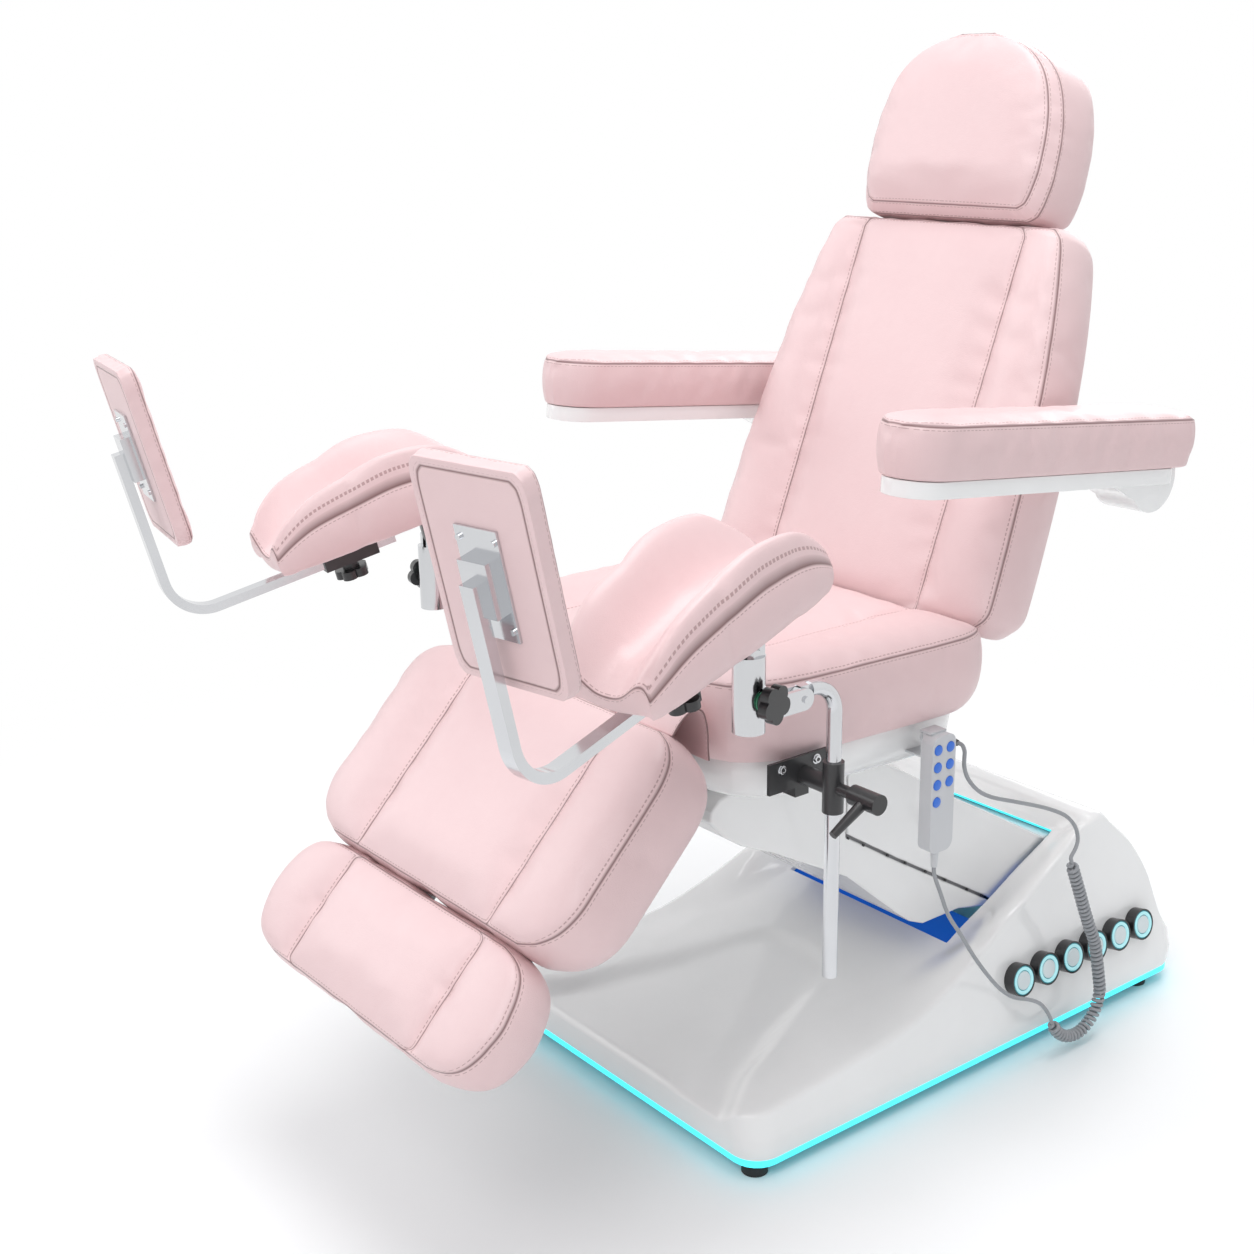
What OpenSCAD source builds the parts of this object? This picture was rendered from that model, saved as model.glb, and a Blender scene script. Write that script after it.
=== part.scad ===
/* [Base] */
// Half of the base's width at its foot
base_half = 290; // [276:1:300]
// Length of the base from its front edge to its rear edge
base_length = 965; // [940:1:1000]
// Height of the moulded shell's lower edge above the floor
skirt_z = 30; // [28:1:34]
// Height of the hump behind the well
hump_z = 325; // [318:1:340]
// Wall of the moulded shell
base_wall = 5; // [3:0.5:6]
// Corner radius of the base seen from above
base_corner = 45; // [32:1:52]
// Distance that a flank leans inwards for each unit of height
flank_lean = 0.2; // [0.16:0.01:0.22]
// Distance from the base's front edge to the well
well_front = 505; // [495:1:512]
// Length of the well
well_length = 252; // [245:1:258]
// Half of the well's width
well_half = 178; // [172:1:182]
// Diameter of a rubber foot
foot_d = 38; // [30:1:42]

/* [Base buttons] */
// Number of push buttons along the left flank
base_button_count = 6; // [1:1:6]
// Distance of the first push button from the base's front edge
base_button_y = 554; // [545:1:560]
// Spacing of the push buttons
base_button_pitch = 59.4; // [56:0.2:60]
// Height of the push buttons
base_button_z = 128; // [122:1:134]
// Diameter of a push button's black housing
bezel_d = 51; // [50:0.5:53]
// Diameter of a push button
base_button_d = 46; // [40:0.5:47]
// Depth of a push button's housing
bezel_depth = 18; // [15:0.5:20]
// Travel of a push button
base_button_travel = 2.5; // [1:0.1:3]

/* [Lifting arm] */
// Height of the lifting arm's rear pivot
lift_z = 230; // [226:1:233]
// Distance of the rear pivot behind the well
lift_setback = 3; // [0:0.5:6]
// Length of the arm seen from above, pivot to pivot
arm_run = 690; // [680:1:700]
// Rise of the arm from its rear pivot to the seat's pivot
arm_rise = 280; // [276:1:282]
// Gap between the arm's cover and the well's side
arm_gap = 10; // [7:0.5:14]
// Wall of the arm's cover
arm_wall = 4; // [3:0.5:5]
// Diameter of the rear pivot shaft
lift_shaft_d = 24; // [20:0.5:28]
// Diameter of the seat's pivot shaft
seat_shaft_d = 20; // [16:0.5:22]

/* [Seat] */
// Largest half width of the seat cushion
seat_half = 310; // [300:1:313]
// Length of the seat cushion
seat_length = 446; // [436:1:450]
// Place of the seat cushion's front edge, ahead of the base when negative
seat_front = -25; // [-30:1:-20]
// Height of the seat cushion's upper seam
seat_seam_z = 724; // [720:1:730]
// Height of the seat cushion's wall below its seam
seat_wall = 112; // [106:1:116]
// Height of a main cushion's crown above its seam
crown = 15; // [6:0.5:18]
// Depth of the seat pan under the cushion
pan_depth = 64; // [60:1:66]
// Wall of the seat pan
pan_wall = 4; // [3:0.5:5]
// Distance of the sewn channels from the middle
channel_x = 160; // [140:1:180]
// Half width of a sewn channel
channel_half = 9; // [5:0.5:14]

/* [Backrest] */
// Recline of the backrest from upright at rest
back_recline = 21.4; // [16:0.1:26]
// Length of the back cushion along its slope
back_length = 578; // [560:1:590]
// Largest half width of the back cushion
back_half = 297; // [285:1:300]
// Thickness of the back cushion
back_thick = 98; // [84:1:102]
// Diameter of the backrest's pivot shaft
back_shaft_d = 20; // [16:0.5:22]

/* [Headrest] */
// Largest half width of the headrest
head_half = 168; // [150:1:180]
// Length of the headrest along its slope
head_length = 252; // [235:1:270]
// Thickness of the headrest
head_thick = 106; // [96:1:112]
// Tilt of the headrest from upright at rest
head_tilt = 15; // [12:0.5:18]
// Diameter of a headrest post
head_post_d = 14; // [12:0.5:16]

/* [Armrests] */
// Distance of an armrest's middle from the chair's middle
arm_x = 360; // [356:1:370]
// Width of an armrest
armrest_width = 100; // [84:1:102]
// Length of an armrest
armrest_length = 562; // [540:1:575]
// Height of an armrest pad's wall below its seam
armrest_wall = 68; // [60:1:72]
// Height of an armrest pad's crown
armrest_crown = 11; // [5:0.5:14]
// Thickness of the tray under an armrest pad
tray_thick = 22; // [18:1:26]
// Fall of an armrest towards its rear
armrest_fall = 6; // [3:0.5:8]
// Diameter of the tube that carries the armrests
arm_tube_d = 25; // [20:0.5:28]

/* [Leg rest] */
// Slope of the leg rest at rest
leg_slope = 46; // [43:0.5:49]
// Length of the calf cushion
calf_length = 314; // [300:1:320]
// Half width of the calf cushion
calf_half = 296; // [280:1:300]
// Thickness of the calf cushion
calf_thick = 104; // [96:1:106]
// Length of the foot cushion
foot_length = 172; // [150:1:185]
// Half width of the foot cushion
foot_half = 280; // [260:1:290]
// Thickness of the foot cushion
foot_thick = 75; // [66:1:80]
// Gap between the calf cushion and the foot cushion
foot_gap = 10; // [6:0.5:14]
// Diameter of the foot section's sliding rods
slide_rod_d = 18; // [14:0.5:20]
// Diameter of the leg rest's pivot shaft
leg_shaft_d = 16; // [12:0.5:18]

/* [Leg supports] */
// Distance of a leg support's rod from the chair's middle
support_x = 355; // [352:1:362]
// Distance of a leg support's rod behind the base's front edge
support_y = 74; // [68:1:80]
// Diameter of the rod
rod_d = 20; // [18:0.5:22]
// Height of the rod's lower end
rod_low_z = 330; // [300:1:360]
// Height of the rod's bent upper part
rod_top_z = 740; // [734:1:746]
// Outer diameter of the clamp's sleeve
sleeve_d = 28; // [26:0.5:32]
// Height of the sleeve's middle
sleeve_z = 598; // [594:1:602]
// Diameter of the upright tube
tube_d = 41; // [36:0.5:44]
// Distance of the upright tube ahead of the base's front edge
tube_ahead = 71; // [66:1:76]
// Turn of the leg pads and foot plates away from straight ahead
toe_out = 10.3; // [6:0.1:12]
// Downward tilt of the leg pads at rest
pad_slope = 13.8; // [10:0.2:17]
// Length of a leg pad
pad_length = 338; // [320:1:350]
// Half width of a leg pad
pad_half = 85; // [76:1:88]
// Height of a leg pad's wings above its underside
wing_height = 120; // [105:1:128]
// Width of the bent bar
bar_width = 20; // [16:0.5:22]
// Thickness of the bent bar
bar_thick = 13; // [10:0.5:14]
// Distance of the bar's bend ahead of the tube
bar_reach = 398; // [385:1:410]
// Height of the bar's end above its lower leg
bar_height = 252; // [240:1:265]
// Half width of a foot plate
plate_half = 82; // [74:1:88]
// Height of a foot plate
plate_height = 250; // [235:1:265]
// Thickness of a foot plate
plate_thick = 25; // [20:1:28]
// Diameter of a star knob
knob_d = 50; // [44:1:54]

/* [Handset] */
// Width of the handset
handset_width = 46; // [44:0.5:52]
// Length of the handset
handset_length = 172; // [160:1:180]
// Thickness of the handset
handset_thick = 22; // [18:0.5:24]
// Diameter of a handset button
key_d = 15; // [12:0.2:16]
// Travel of a handset button
key_travel = 1.2; // [0.6:0.1:1.5]
// Diameter of the cord
cord_d = 6; // [5:0.1:6]
// Outer diameter of the cord's curls
curl_d = 20; // [18:0.2:21]
// Number of curls
curls = 46; // [40:1:48]

/* [Hidden] */
$fn = 48;

// Distance from the base's front edge to the origin, the middle of the chair's length
frame_shift_y = 226.8;

// Overrun of cuts, running clearance round a shaft, and gap between moving neighbours
cut = 1;
run_gap = 0.05;
part_gap = 0.3;
left = 1;
right = -1;
steel_plate = 10;
sheet = 3;
bolt_d = 12;
washer = 2;

// Outlines and heights as shares, in order from the front to the rear
flank_front_shares = [
    [0, 0.308], [0.113, 0.326], [0.345, 0.354], [0.59, 0.391], [0.768, 0.465],
    [0.949, 0.578], [1, 0.61]
];
flank_well_shares = [[0.111, 0.658], [0.341, 0.732], [0.516, 0.8], [0.722, 0.88], [1, 0.985]];
middle_front_shares = [[0, 0.308], [0.745, 0.44], [0.891, 0.477], [1, 0.511]];
middle_well_shares = [[0.1, 0.551], [0.369, 0.649], [0.663, 0.766], [0.9, 0.852], [1, 0.895]];
rear_shares = [
    [0.087, 0.985], [0.2, 1], [0.3, 0.914], [0.49, 0.803], [0.61, 0.708], [0.683, 0.606],
    [0.736, 0.48], [0.78, 0.391], [0.92, 0.283], [1, 0.265]
];
// Half width of the shallow dish in the base's front, and its depth
dish_half_shares = [
    [0, 0.81], [0.158, 0.628], [0.23, 0.579], [0.384, 0.462], [0.529, 0.376],
    [0.642, 0.31], [0.717, 0.2], [0.745, 0.05]
];
dish_depth_shares = [[0, 0.068], [0.158, 0.055], [0.384, 0.043], [0.594, 0.028], [0.745, 0.02]];
dish_blend = 40;
rise_width = 72;
shell_edge_in = 14;
shell_edge_drop = 8;
rim_bevel = 27;
plinth_z = 60;
skirt_tuck = 3;
front_row_shares = [0.2, 0.345, 0.47, 0.59, 0.69, 0.77, 0.89, 1];
well_row_shares = [0.12, 0.36, 0.62, 0.84, 1];
rear_row_shares = [0.087, 0.2, 0.3, 0.49, 0.61, 0.683, 0.736, 0.78];
corner_angles = [0, 30, 60, 90];
column_shares = [0, 0.34, 0.62, 0.81, 1];

// Lengths along the base keep their shares of it, and widths theirs of its half width
tail_length = 208;
flank_room = 112;
along_share = base_length / (well_front + well_length + tail_length);
across_share = base_half / (well_half + flank_room);
well_start = well_front * along_share;
well_run = well_length * along_share;
well_side = well_half * across_share;
arm_reach = arm_run * along_share;
button_start = base_button_y * along_share;
button_step = base_button_pitch * along_share;
well_rear = well_start + well_run;
lift_y = well_rear + lift_setback;
base_middle = base_length / 2;
rear_zone = base_length - well_rear;

function zoned(front, well, rear) = concat(
    [for (p = front) [well_start * p[0], hump_z * p[1]]],
    [for (p = well) [well_start + well_run * p[0], hump_z * p[1]]],
    [for (p = rear) [well_rear + rear_zone * p[0], hump_z * p[1]]]);
flank_line = zoned(flank_front_shares, flank_well_shares, rear_shares);
middle_line = zoned(middle_front_shares, middle_well_shares, rear_shares);
dish_half_line = [for (p = dish_half_shares) [well_start * p[0], base_half * p[1]]];
dish_depth_line = [for (p = dish_depth_shares) [well_start * p[0], hump_z * p[1]]];
dish_end = well_start * dish_half_shares[len(dish_half_shares) - 1][0];

function bound(t) = min(1, max(0, t));
function soft_step(t) = let (b = bound(t)) b * b * (3 - 2 * b);
function plan_half(y) =
    let (d = min(y, base_length - y), s = max(0, 1 - d / base_corner))
    base_half - base_corner * (1 - sqrt(1 - s * s));
function flank_top(y) = plan_half(y)
    - flank_lean * (lookup(y, flank_line) - shell_edge_drop - plinth_z);
function dish(x, y) = y > dish_end ? 0
    : lookup(y, dish_depth_line)
        * soft_step((lookup(y, dish_half_line) - abs(x)) / dish_blend + 1 / 2);
function shell_z(x, y) =
    let (m = lookup(y, middle_line), f = lookup(y, flank_line))
    m + (f - m) * soft_step((abs(x) - well_side) / rise_width) - dish(x, y);
function well_rim_z(y) = shell_z(well_side, y);

function shell_rows() = concat(
    [for (a = corner_angles) base_corner * (1 - cos(a))],
    [for (s = front_row_shares) well_start * s],
    [for (s = well_row_shares) well_start + well_run * s],
    [for (s = rear_row_shares) well_rear + rear_zone * s],
    [for (a = [60, 30, 0]) base_length - base_corner * (1 - cos(a))]);
function shell_columns(y) = let (w = flank_top(y), b = well_side + rim_bevel)
    concat([for (s = column_shares) well_side * s],
        [b, (b + w - shell_edge_in) / 2, w - shell_edge_in, w]);
function mirrored(v) = let (n = len(v) - 1)
    [for (i = [-n : n]) i < 0 ? -v[-i] : v[i]];
function grid_edge(m, n) = concat(
    [for (c = [0 : n - 1]) [0, c]],
    [for (r = [1 : m - 1]) [r, n - 1]],
    [for (c = [n - 2 : -1 : 0]) [m - 1, c]],
    [for (r = [m - 2 : -1 : 1]) [r, 0]]);
function wall_faces(p, q, flip = false) = let (k = len(p))
    [for (i = [0 : k - 1]) let (j = (i + 1) % k)
        each flip ? [[p[i], q[j], p[j]], [p[i], q[i], q[j]]]
            : [[p[i], p[j], q[j]], [p[i], q[j], q[i]]]];

// Moulded shell: a grid over its top with the well left out, flanks, and an inner skin
module shell_body() {
    rows = shell_rows();
    m = len(rows);
    side = len(column_shares) - 1;
    first = len(corner_angles) + len(front_row_shares) - 1;
    final = first + len(well_row_shares);
    outer = [for (r = [0 : m - 1]) let (y = rows[r], xs = mirrored(shell_columns(y)))
        [for (c = [0 : len(xs) - 1])
            let (edge = r == 0 || r == m - 1 || c == 0 || c == len(xs) - 1)
            [xs[c], y, shell_z(xs[c], y) - (edge ? shell_edge_drop : 0)]]];
    n = len(outer[0]);
    middle = (n - 1) / 2;
    low = middle - side;
    high = middle + side;
    in_y = 1 - base_wall / base_middle;
    function tucked(y) = base_middle + (y - base_middle) * in_y;
    inner = [for (row = outer) [for (p = row) let (w = flank_top(p.y))
        [p.x * (w - base_wall) / w, tucked(p.y), p.z - base_wall]]];
    edge = grid_edge(m, n);
    function foot_point(p, shrink, z, t) =
        let (w = flank_top(p.y), x = p.x * plan_half(p.y) / w * (1 - shrink / base_half),
            y = base_middle + (p.y - base_middle) * (1 - shrink / base_middle))
        [p.x + (x - p.x) * t, y, p.z + (z - p.z) * t];
    out_rings = [for (g = [[0, plinth_z, 1 / 2], [0, plinth_z, 1], [skirt_tuck, skirt_z, 1]])
        [for (e = edge) foot_point(outer[e[0]][e[1]], g[0], g[1], g[2])]];
    in_rings = [for (g = [[base_wall, plinth_z, 1 / 2], [base_wall, plinth_z, 1],
                [skirt_tuck + base_wall, skirt_z, 1]])
        [for (e = edge) let (p = outer[e[0]][e[1]], q = inner[e[0]][e[1]], w = flank_top(p.y))
            let (f = foot_point(p, g[0], g[1], 1))
            [q.x + (f.x - q.x) * g[2], f.y, q.z + (f.z - q.z) * g[2]]]];
    k = len(edge);
    points = concat([for (row = outer) each row], [for (row = inner) each row],
        [for (ring = out_rings) each ring], [for (ring = in_rings) each ring]);
    function top_id(e) = e[0] * n + e[1];
    function in_id(e) = m * n + e[0] * n + e[1];
    function ring_ids(g) = [for (i = [0 : k - 1]) 2 * m * n + g * k + i];
    cells = [for (r = [0 : m - 2]) for (c = [0 : n - 2])
        if (!(r >= first && r < final && c >= low && c < high)) [r, c]];
    top_faces = [for (q = cells) let (a = q[0] * n + q[1])
        each [[a, a + n, a + 1], [a + 1, a + n, a + n + 1]]];
    under_faces = [for (q = cells) let (a = m * n + q[0] * n + q[1])
        each [[a, a + 1, a + n], [a + 1, a + n + 1, a + n]]];
    hole = concat([for (c = [low : high]) [first, c]],
        [for (r = [first + 1 : final]) [r, high]],
        [for (c = [high - 1 : -1 : low]) [final, c]],
        [for (r = [final - 1 : -1 : first + 1]) [r, low]]);
    top_edge = [for (e = edge) top_id(e)];
    in_edge = [for (e = edge) in_id(e)];
    faces = concat(top_faces, under_faces,
        wall_faces(top_edge, ring_ids(0)), wall_faces(ring_ids(0), ring_ids(1)),
        wall_faces(ring_ids(1), ring_ids(2)), wall_faces(ring_ids(2), ring_ids(5)),
        wall_faces(ring_ids(4), ring_ids(3), false),
        wall_faces(ring_ids(5), ring_ids(4)), wall_faces(ring_ids(3), in_edge),
        wall_faces([for (e = hole) in_id(e)], [for (e = hole) top_id(e)]));
    polyhedron(points, faces);
}

module base_shell() { color("whitesmoke") shell_body(); }

// Steel frame under the shell with the two plates that carry the arm's shaft
rail = 34;
rail_in = 58;
rail_x = base_half - rail_in;
frame_front = 60;
frame_rear_in = 85;
frame_rear = base_length - frame_rear_in;
frame_lift = 4;
frame_z = skirt_z + frame_lift;
bracket_out = 16;
bracket_run = 90;
bracket_nose = 28;
module base_frame() {
    color("dimgray") {
        for (s = [left, right]) translate([s * rail_x - rail / 2, frame_front - rail / 2, frame_z])
            cube([rail, frame_rear - frame_front + rail, rail]);
        for (y = [frame_front, well_start - rail * 2, frame_rear])
            translate([-rail_x, y - rail / 2, frame_z]) cube([2 * rail_x, rail, rail]);
        for (s = [left, right]) translate([s * rail_x, lift_y - bracket_run / 2, frame_z])
            mirror([s > 0 ? 1 : 0, 0, 0])
                cube([rail_x - well_side - steel_plate, bracket_run, steel_plate]);
        for (s = [left, right]) {
            bracket_at(s) translate([lift_y - bracket_run / 2, frame_z])
                square([bracket_run, lift_z - frame_z - bracket_nose]);
            bracket_at(s) polygon([
                [lift_y - bracket_run / 2, lift_z - bracket_nose],
                [lift_y + bracket_run / 2, lift_z - bracket_nose],
                [lift_y + bracket_nose, lift_z], [lift_y - bracket_nose, lift_z]]);
            bracket_at(s) translate([lift_y, lift_z]) circle(bracket_nose);
        }
        along_x(2 * (well_side + steel_plate + bracket_out), lift_y, lift_z)
            circle(lift_shaft_d / 2);
        for (s = [left, right]) for (y = [foot_front_y, foot_rear_y])
            translate([s * (foot_x + rail_x) / 2 - foot_stem_d, y - foot_stem_d / 2, frame_z])
                cube([2 * foot_stem_d, foot_stem_d + rail / 2, foot_plate]);
    }
}
foot_plate = 5;
module bracket_at(s) {
    x = s > 0 ? well_side + steel_plate / 2 : -well_side - 3 * steel_plate / 2;
    translate([x, 0, 0]) rotate([90, 0, 90]) linear_extrude(steel_plate) children();
}
// A shape drawn in a plane square to X, extruded along X about the middle
module along_x(length, y, z, x = 0) {
    translate([x, y, z]) rotate([90, 0, 90]) linear_extrude(length, center = true) children();
}

foot_in = 34;
foot_x = base_half - foot_in;
foot_front_y = 33;
foot_rear_in = 75;
foot_rear_y = base_length - foot_rear_in;
foot_height = 17;
foot_stem_d = 16;
module rubber_feet() {
    color("black") for (s = [left, right]) for (y = [foot_front_y, foot_rear_y])
        translate([s * foot_x, y, 0]) {
            cylinder(h = foot_height, d = foot_d);
            cylinder(h = frame_z, d = foot_stem_d);
        }
}

strip_in = 4;
strip_width = 8;
strip_height = 11;
rear_strip_height = 4;
function rounded(w, l, r) = [for (q = [0 : 3]) for (t = [0 : 6])
    let (a = 90 * q + 15 * t, cx = (q == 0 || q == 3 ? 1 : -1) * (w / 2 - r),
        cy = (q < 2 ? 1 : -1) * (l / 2 - r))
    [cx + r * cos(a), cy + r * sin(a)]];
module light_strip() {
    color("cyan") {
        translate([0, base_middle, skirt_z - strip_height]) linear_extrude(strip_height - run_gap)
            difference() {
                polygon(rounded(2 * (base_half - strip_in), base_length - 2 * strip_in,
                    base_corner - strip_in));
                polygon(rounded(2 * (base_half - strip_in - strip_width),
                    base_length - 2 * (strip_in + strip_width),
                    base_corner - strip_in - strip_width));
            }
        translate([-well_side + strip_width, well_rear + part_gap,
                well_rim_z(well_rear) - base_wall - cut - rear_strip_height])
            cube([2 * (well_side - strip_width), sheet, rear_strip_height]);
    }
}

// Blue tray inside the well, with three slots in its front wall
tray_low_z = 100;
tray_drop = 10;
tray_end = well_start + well_run * 3 / 4;
slot_z = 118;
slot_height = 26;
slot_width = 96;
slot_post = 18;
module well_tray() {
    color("royalblue") difference() {
        translate([-well_side - sheet, 0, 0]) rotate([90, 0, 90])
            linear_extrude(2 * (well_side + sheet)) polygon([
                [well_start - sheet, tray_low_z], [tray_end, tray_low_z],
                [tray_end, well_rim_z(tray_end) - tray_drop - base_wall],
                [well_start + well_run / 2,
                    well_rim_z(well_start + well_run / 2) - tray_drop - base_wall],
                [well_start - sheet, well_rim_z(well_start) - tray_drop - base_wall]]);
        translate([-well_side, well_start, tray_low_z + sheet])
            cube([2 * well_side, well_run, hump_z]);
        for (i = [-1, 0, 1]) translate([i * (slot_width + slot_post) - slot_width / 2,
                well_start - sheet - cut, slot_z])
            cube([slot_width, sheet + 2 * cut, slot_height]);
    }
}

// Housings and push buttons on the left flank, square to its lean
bezel_floor = 3;
button_gap = 0.4;
bezel_off = 0.1;
button_proud = 1;
button_ring = 7;
module on_flank(i) {
    translate([base_half - flank_lean * (base_button_z - plinth_z),
            button_start + i * button_step, base_button_z])
        rotate([0, 90 - atan(flank_lean), 0]) translate([0, 0, bezel_off]) children();
}
module button_bezels() {
    color("black") for (i = [0 : base_button_count - 1]) on_flank(i) difference() {
        cylinder(h = bezel_depth, d = bezel_d);
        translate([0, 0, bezel_floor])
            cylinder(h = bezel_depth, d = base_button_d + 2 * button_gap);
    }
}
module base_button(i) {
    color("paleturquoise") on_flank(i) {
        translate([0, 0, bezel_floor + base_button_travel + part_gap])
            cylinder(h = bezel_depth - bezel_floor - base_button_travel - part_gap,
                d = base_button_d);
        translate([0, 0, bezel_depth]) difference() {
            cylinder(h = button_proud, d = base_button_d);
            translate([0, 0, -cut])
                cylinder(h = button_proud + 2 * cut, d = base_button_d - 2 * button_ring);
        }
    }
}

inlet_x = 180;
inlet_width = 50;
inlet_height = 30;
inlet_depth = 16;
inlet_z = 32;
inlet_wall = 4;
pin_size = 4;
pin_pitch = 14;
module mains_inlet() {
    color("black") translate([inlet_x - inlet_width / 2, base_length + part_gap, inlet_z]) {
        difference() {
            cube([inlet_width, inlet_depth, inlet_height]);
            translate([inlet_wall, inlet_wall, inlet_wall])
                cube([inlet_width - 2 * inlet_wall, inlet_depth,
                    inlet_height - 2 * inlet_wall]);
        }
        for (i = [-1, 0, 1])
            translate([inlet_width / 2 + i * pin_pitch - pin_size / 2, inlet_wall - run_gap,
                    inlet_height / 2 - pin_size / 2])
                cube([pin_size, inlet_depth - 2 * inlet_wall, pin_size]);
    }
}

// Lifting arm and its two-part cover. The outline runs from the rear pivot, in shares of the
// arm's run and rise, along the top to the nose and back along the underside
arm_half = well_side - arm_gap;
arm_end_radius = 46;
arm_outline_shares = [
    [0.1217, 0.3], [0.1942, 0.407], [0.3333, 0.6036], [0.5217, 0.8964], [0.63, 1.04],
    [0.69, 1.089], [0.985, 1.089], [1.036, 1.06], [1.058, 1.01], [1.061, 0.954],
    [1.022, 0.85], [0.974, 0.771], [0.893, 0.679], [0.822, 0.586], [0.675, 0.386],
    [0.516, 0.05], [0.475, -0.029], [0.433, -0.075], [0.317, -0.075], [0.17, -0.16]
];
seat_pivot_y = lift_y - arm_reach;
seat_pivot_z = lift_z + arm_rise;
split_share = 0.68;
seam_shares = [[0.68, 0.625], [0.522, 0.375], [0.357, 0.125], [0.22, -0.079]];
seam_gap = 3;
function arm_point(p) = [lift_y - arm_reach * p[0], lift_z + arm_rise * p[1]];
arm_outline = concat([for (p = arm_outline_shares) arm_point(p)],
    [for (a = [-100 : 15 : 110]) [lift_y + arm_end_radius * cos(a), lift_z + arm_end_radius * sin(a)]]);
// Region behind the split and above the seam, drawn back by a gap
module upper_region(gap) {
    low = arm_outline_shares[19];
    polygon(concat(
        [[lift_y - arm_reach * split_share + gap, hump_z * 2]],
        [for (p = seam_shares) arm_point(p) + [gap, gap]],
        [arm_point([low[0] / 2, low[1] - arm_gap / arm_rise]) + [gap, gap - arm_end_radius],
            [lift_y + 2 * arm_end_radius, 0], [lift_y + 2 * arm_end_radius, hump_z * 2]]));
}
lug_half = 45;
arm_plate_x = lug_half + part_gap;
hub_wall = 12;
slot_run = 66;
module arm_cover(upper) {
    color("white") difference() {
        translate([-arm_half, 0, 0]) rotate([90, 0, 90]) linear_extrude(2 * arm_half)
            difference() {
                polygon(arm_outline);
                if (upper) difference() {
                    translate([-base_length, 0]) square([3 * base_length, base_length]);
                    upper_region(seam_gap / 2);
                }
                else upper_region(-seam_gap / 2);
            }
        translate([-arm_half + arm_wall, 0, 0]) rotate([90, 0, 90])
            linear_extrude(2 * (arm_half - arm_wall)) offset(delta = -arm_wall)
                polygon(arm_outline);
        along_x(2 * well_side, lift_y, lift_z) circle(lift_shaft_d / 2 + cut);
        translate([-lug_half - steel_plate - cut, seat_pivot_y - slot_run / 2, seat_pivot_z])
            cube([2 * (lug_half + steel_plate + cut), slot_run, hump_z]);
    }
}
module arm_cover_upper() { arm_cover(true); }
module arm_cover_lower() { arm_cover(false); }

arm_depth = 52;
seat_hub_r = 17;
module lift_arm() {
    color("gray") {
        for (s = [left, right]) difference() {
            union() {
                arm_plate(s) polygon([
                    [lift_y, lift_z - arm_depth / 2], [lift_y, lift_z + arm_depth / 2],
                    [seat_pivot_y, seat_pivot_z + seat_hub_r],
                    [seat_pivot_y, seat_pivot_z - seat_hub_r]]);
                arm_plate(s) translate([lift_y, lift_z]) circle(arm_depth / 2);
                arm_plate(s) translate([seat_pivot_y, seat_pivot_z]) circle(seat_hub_r);
            }
            along_x(2 * well_side, lift_y, lift_z) circle(lift_shaft_d / 2 + run_gap);
            along_x(2 * well_side, seat_pivot_y, seat_pivot_z) circle(seat_shaft_d / 2);
        }
        along_x(2 * (arm_plate_x + steel_plate), seat_pivot_y, seat_pivot_z)
            circle(seat_shaft_d / 2);
        for (s = [left, right]) difference() {
            along_x(arm_half - arm_wall - 2 * arm_plate_x / 2 - steel_plate - cut, lift_y, lift_z,
                    s * (arm_half - arm_wall + arm_plate_x + steel_plate - cut) / 2)
                circle(lift_shaft_d / 2 + hub_wall);
            along_x(2 * well_side, lift_y, lift_z) circle(lift_shaft_d / 2 + run_gap);
        }
        for (t = [1 / 3, 3 / 4])
            along_x(2 * arm_plate_x, lift_y - arm_reach * t, lift_z + arm_rise * t)
                circle(seat_hub_r - sheet);
    }
}
module arm_plate(s) {
    translate([s > 0 ? arm_plate_x : -arm_plate_x - steel_plate, 0, 0]) rotate([90, 0, 90])
        linear_extrude(steel_plate) children();
}

// Soft pieces. Rows give length, width and height shares from one end to the other;
// columns run from the middle to the edge
seat_rows_shares = [
    [0, 0.69, 0], [0.036, 0.813, 0.5], [0.1, 0.89, 0.85], [0.19, 0.939, 1], [0.5, 0.97, 0.9],
    [0.76, 0.995, 0.9], [0.87, 1, 0.85], [0.945, 0.975, 0.6], [1, 0.92, 0]
];
back_rows_shares = [
    [0, 0.9, 0], [0.05, 0.985, 0.7], [0.32, 0.966, 1], [0.58, 0.919, 1], [0.72, 0.88, 1],
    [0.824, 0.84, 0.95], [0.907, 0.8, 0.8], [0.974, 0.755, 0.45], [1, 0.7, 0]
];
calf_rows_shares = [
    [0, 0.76, 0], [0.04, 0.87, 0.6], [0.12, 0.96, 0.9], [0.25, 1, 1], [0.5, 1, 1],
    [0.75, 1, 1], [0.88, 0.975, 0.95], [0.96, 0.9, 0.6], [1, 0.8, 0]
];
foot_rows_shares = [
    [0, 0.7, 0], [0.04, 0.83, 0.5], [0.15, 0.93, 0.85], [0.35, 0.985, 1], [0.5, 1, 1],
    [0.65, 0.985, 1], [0.85, 0.93, 0.85], [0.96, 0.83, 0.5], [1, 0.7, 0]
];
head_rows_shares = [
    [0, 0.84, 0], [0.03, 0.92, 0.5], [0.12, 0.97, 0.9], [0.25, 1, 1], [0.37, 1, 1],
    [0.5, 0.98, 1], [0.62, 0.935, 1], [0.75, 0.85, 0.95], [0.86, 0.7, 0.8],
    [0.95, 0.45, 0.5], [1, 0.18, 0]
];
armrest_rows_shares = [
    [0, 0.2, 0], [0.012, 0.52, 0.6], [0.044, 0.87, 0.9], [0.089, 1, 1], [0.4, 1, 1],
    [0.8, 1, 1], [0.97, 0.97, 0.8], [1, 0.88, 0]
];
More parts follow.
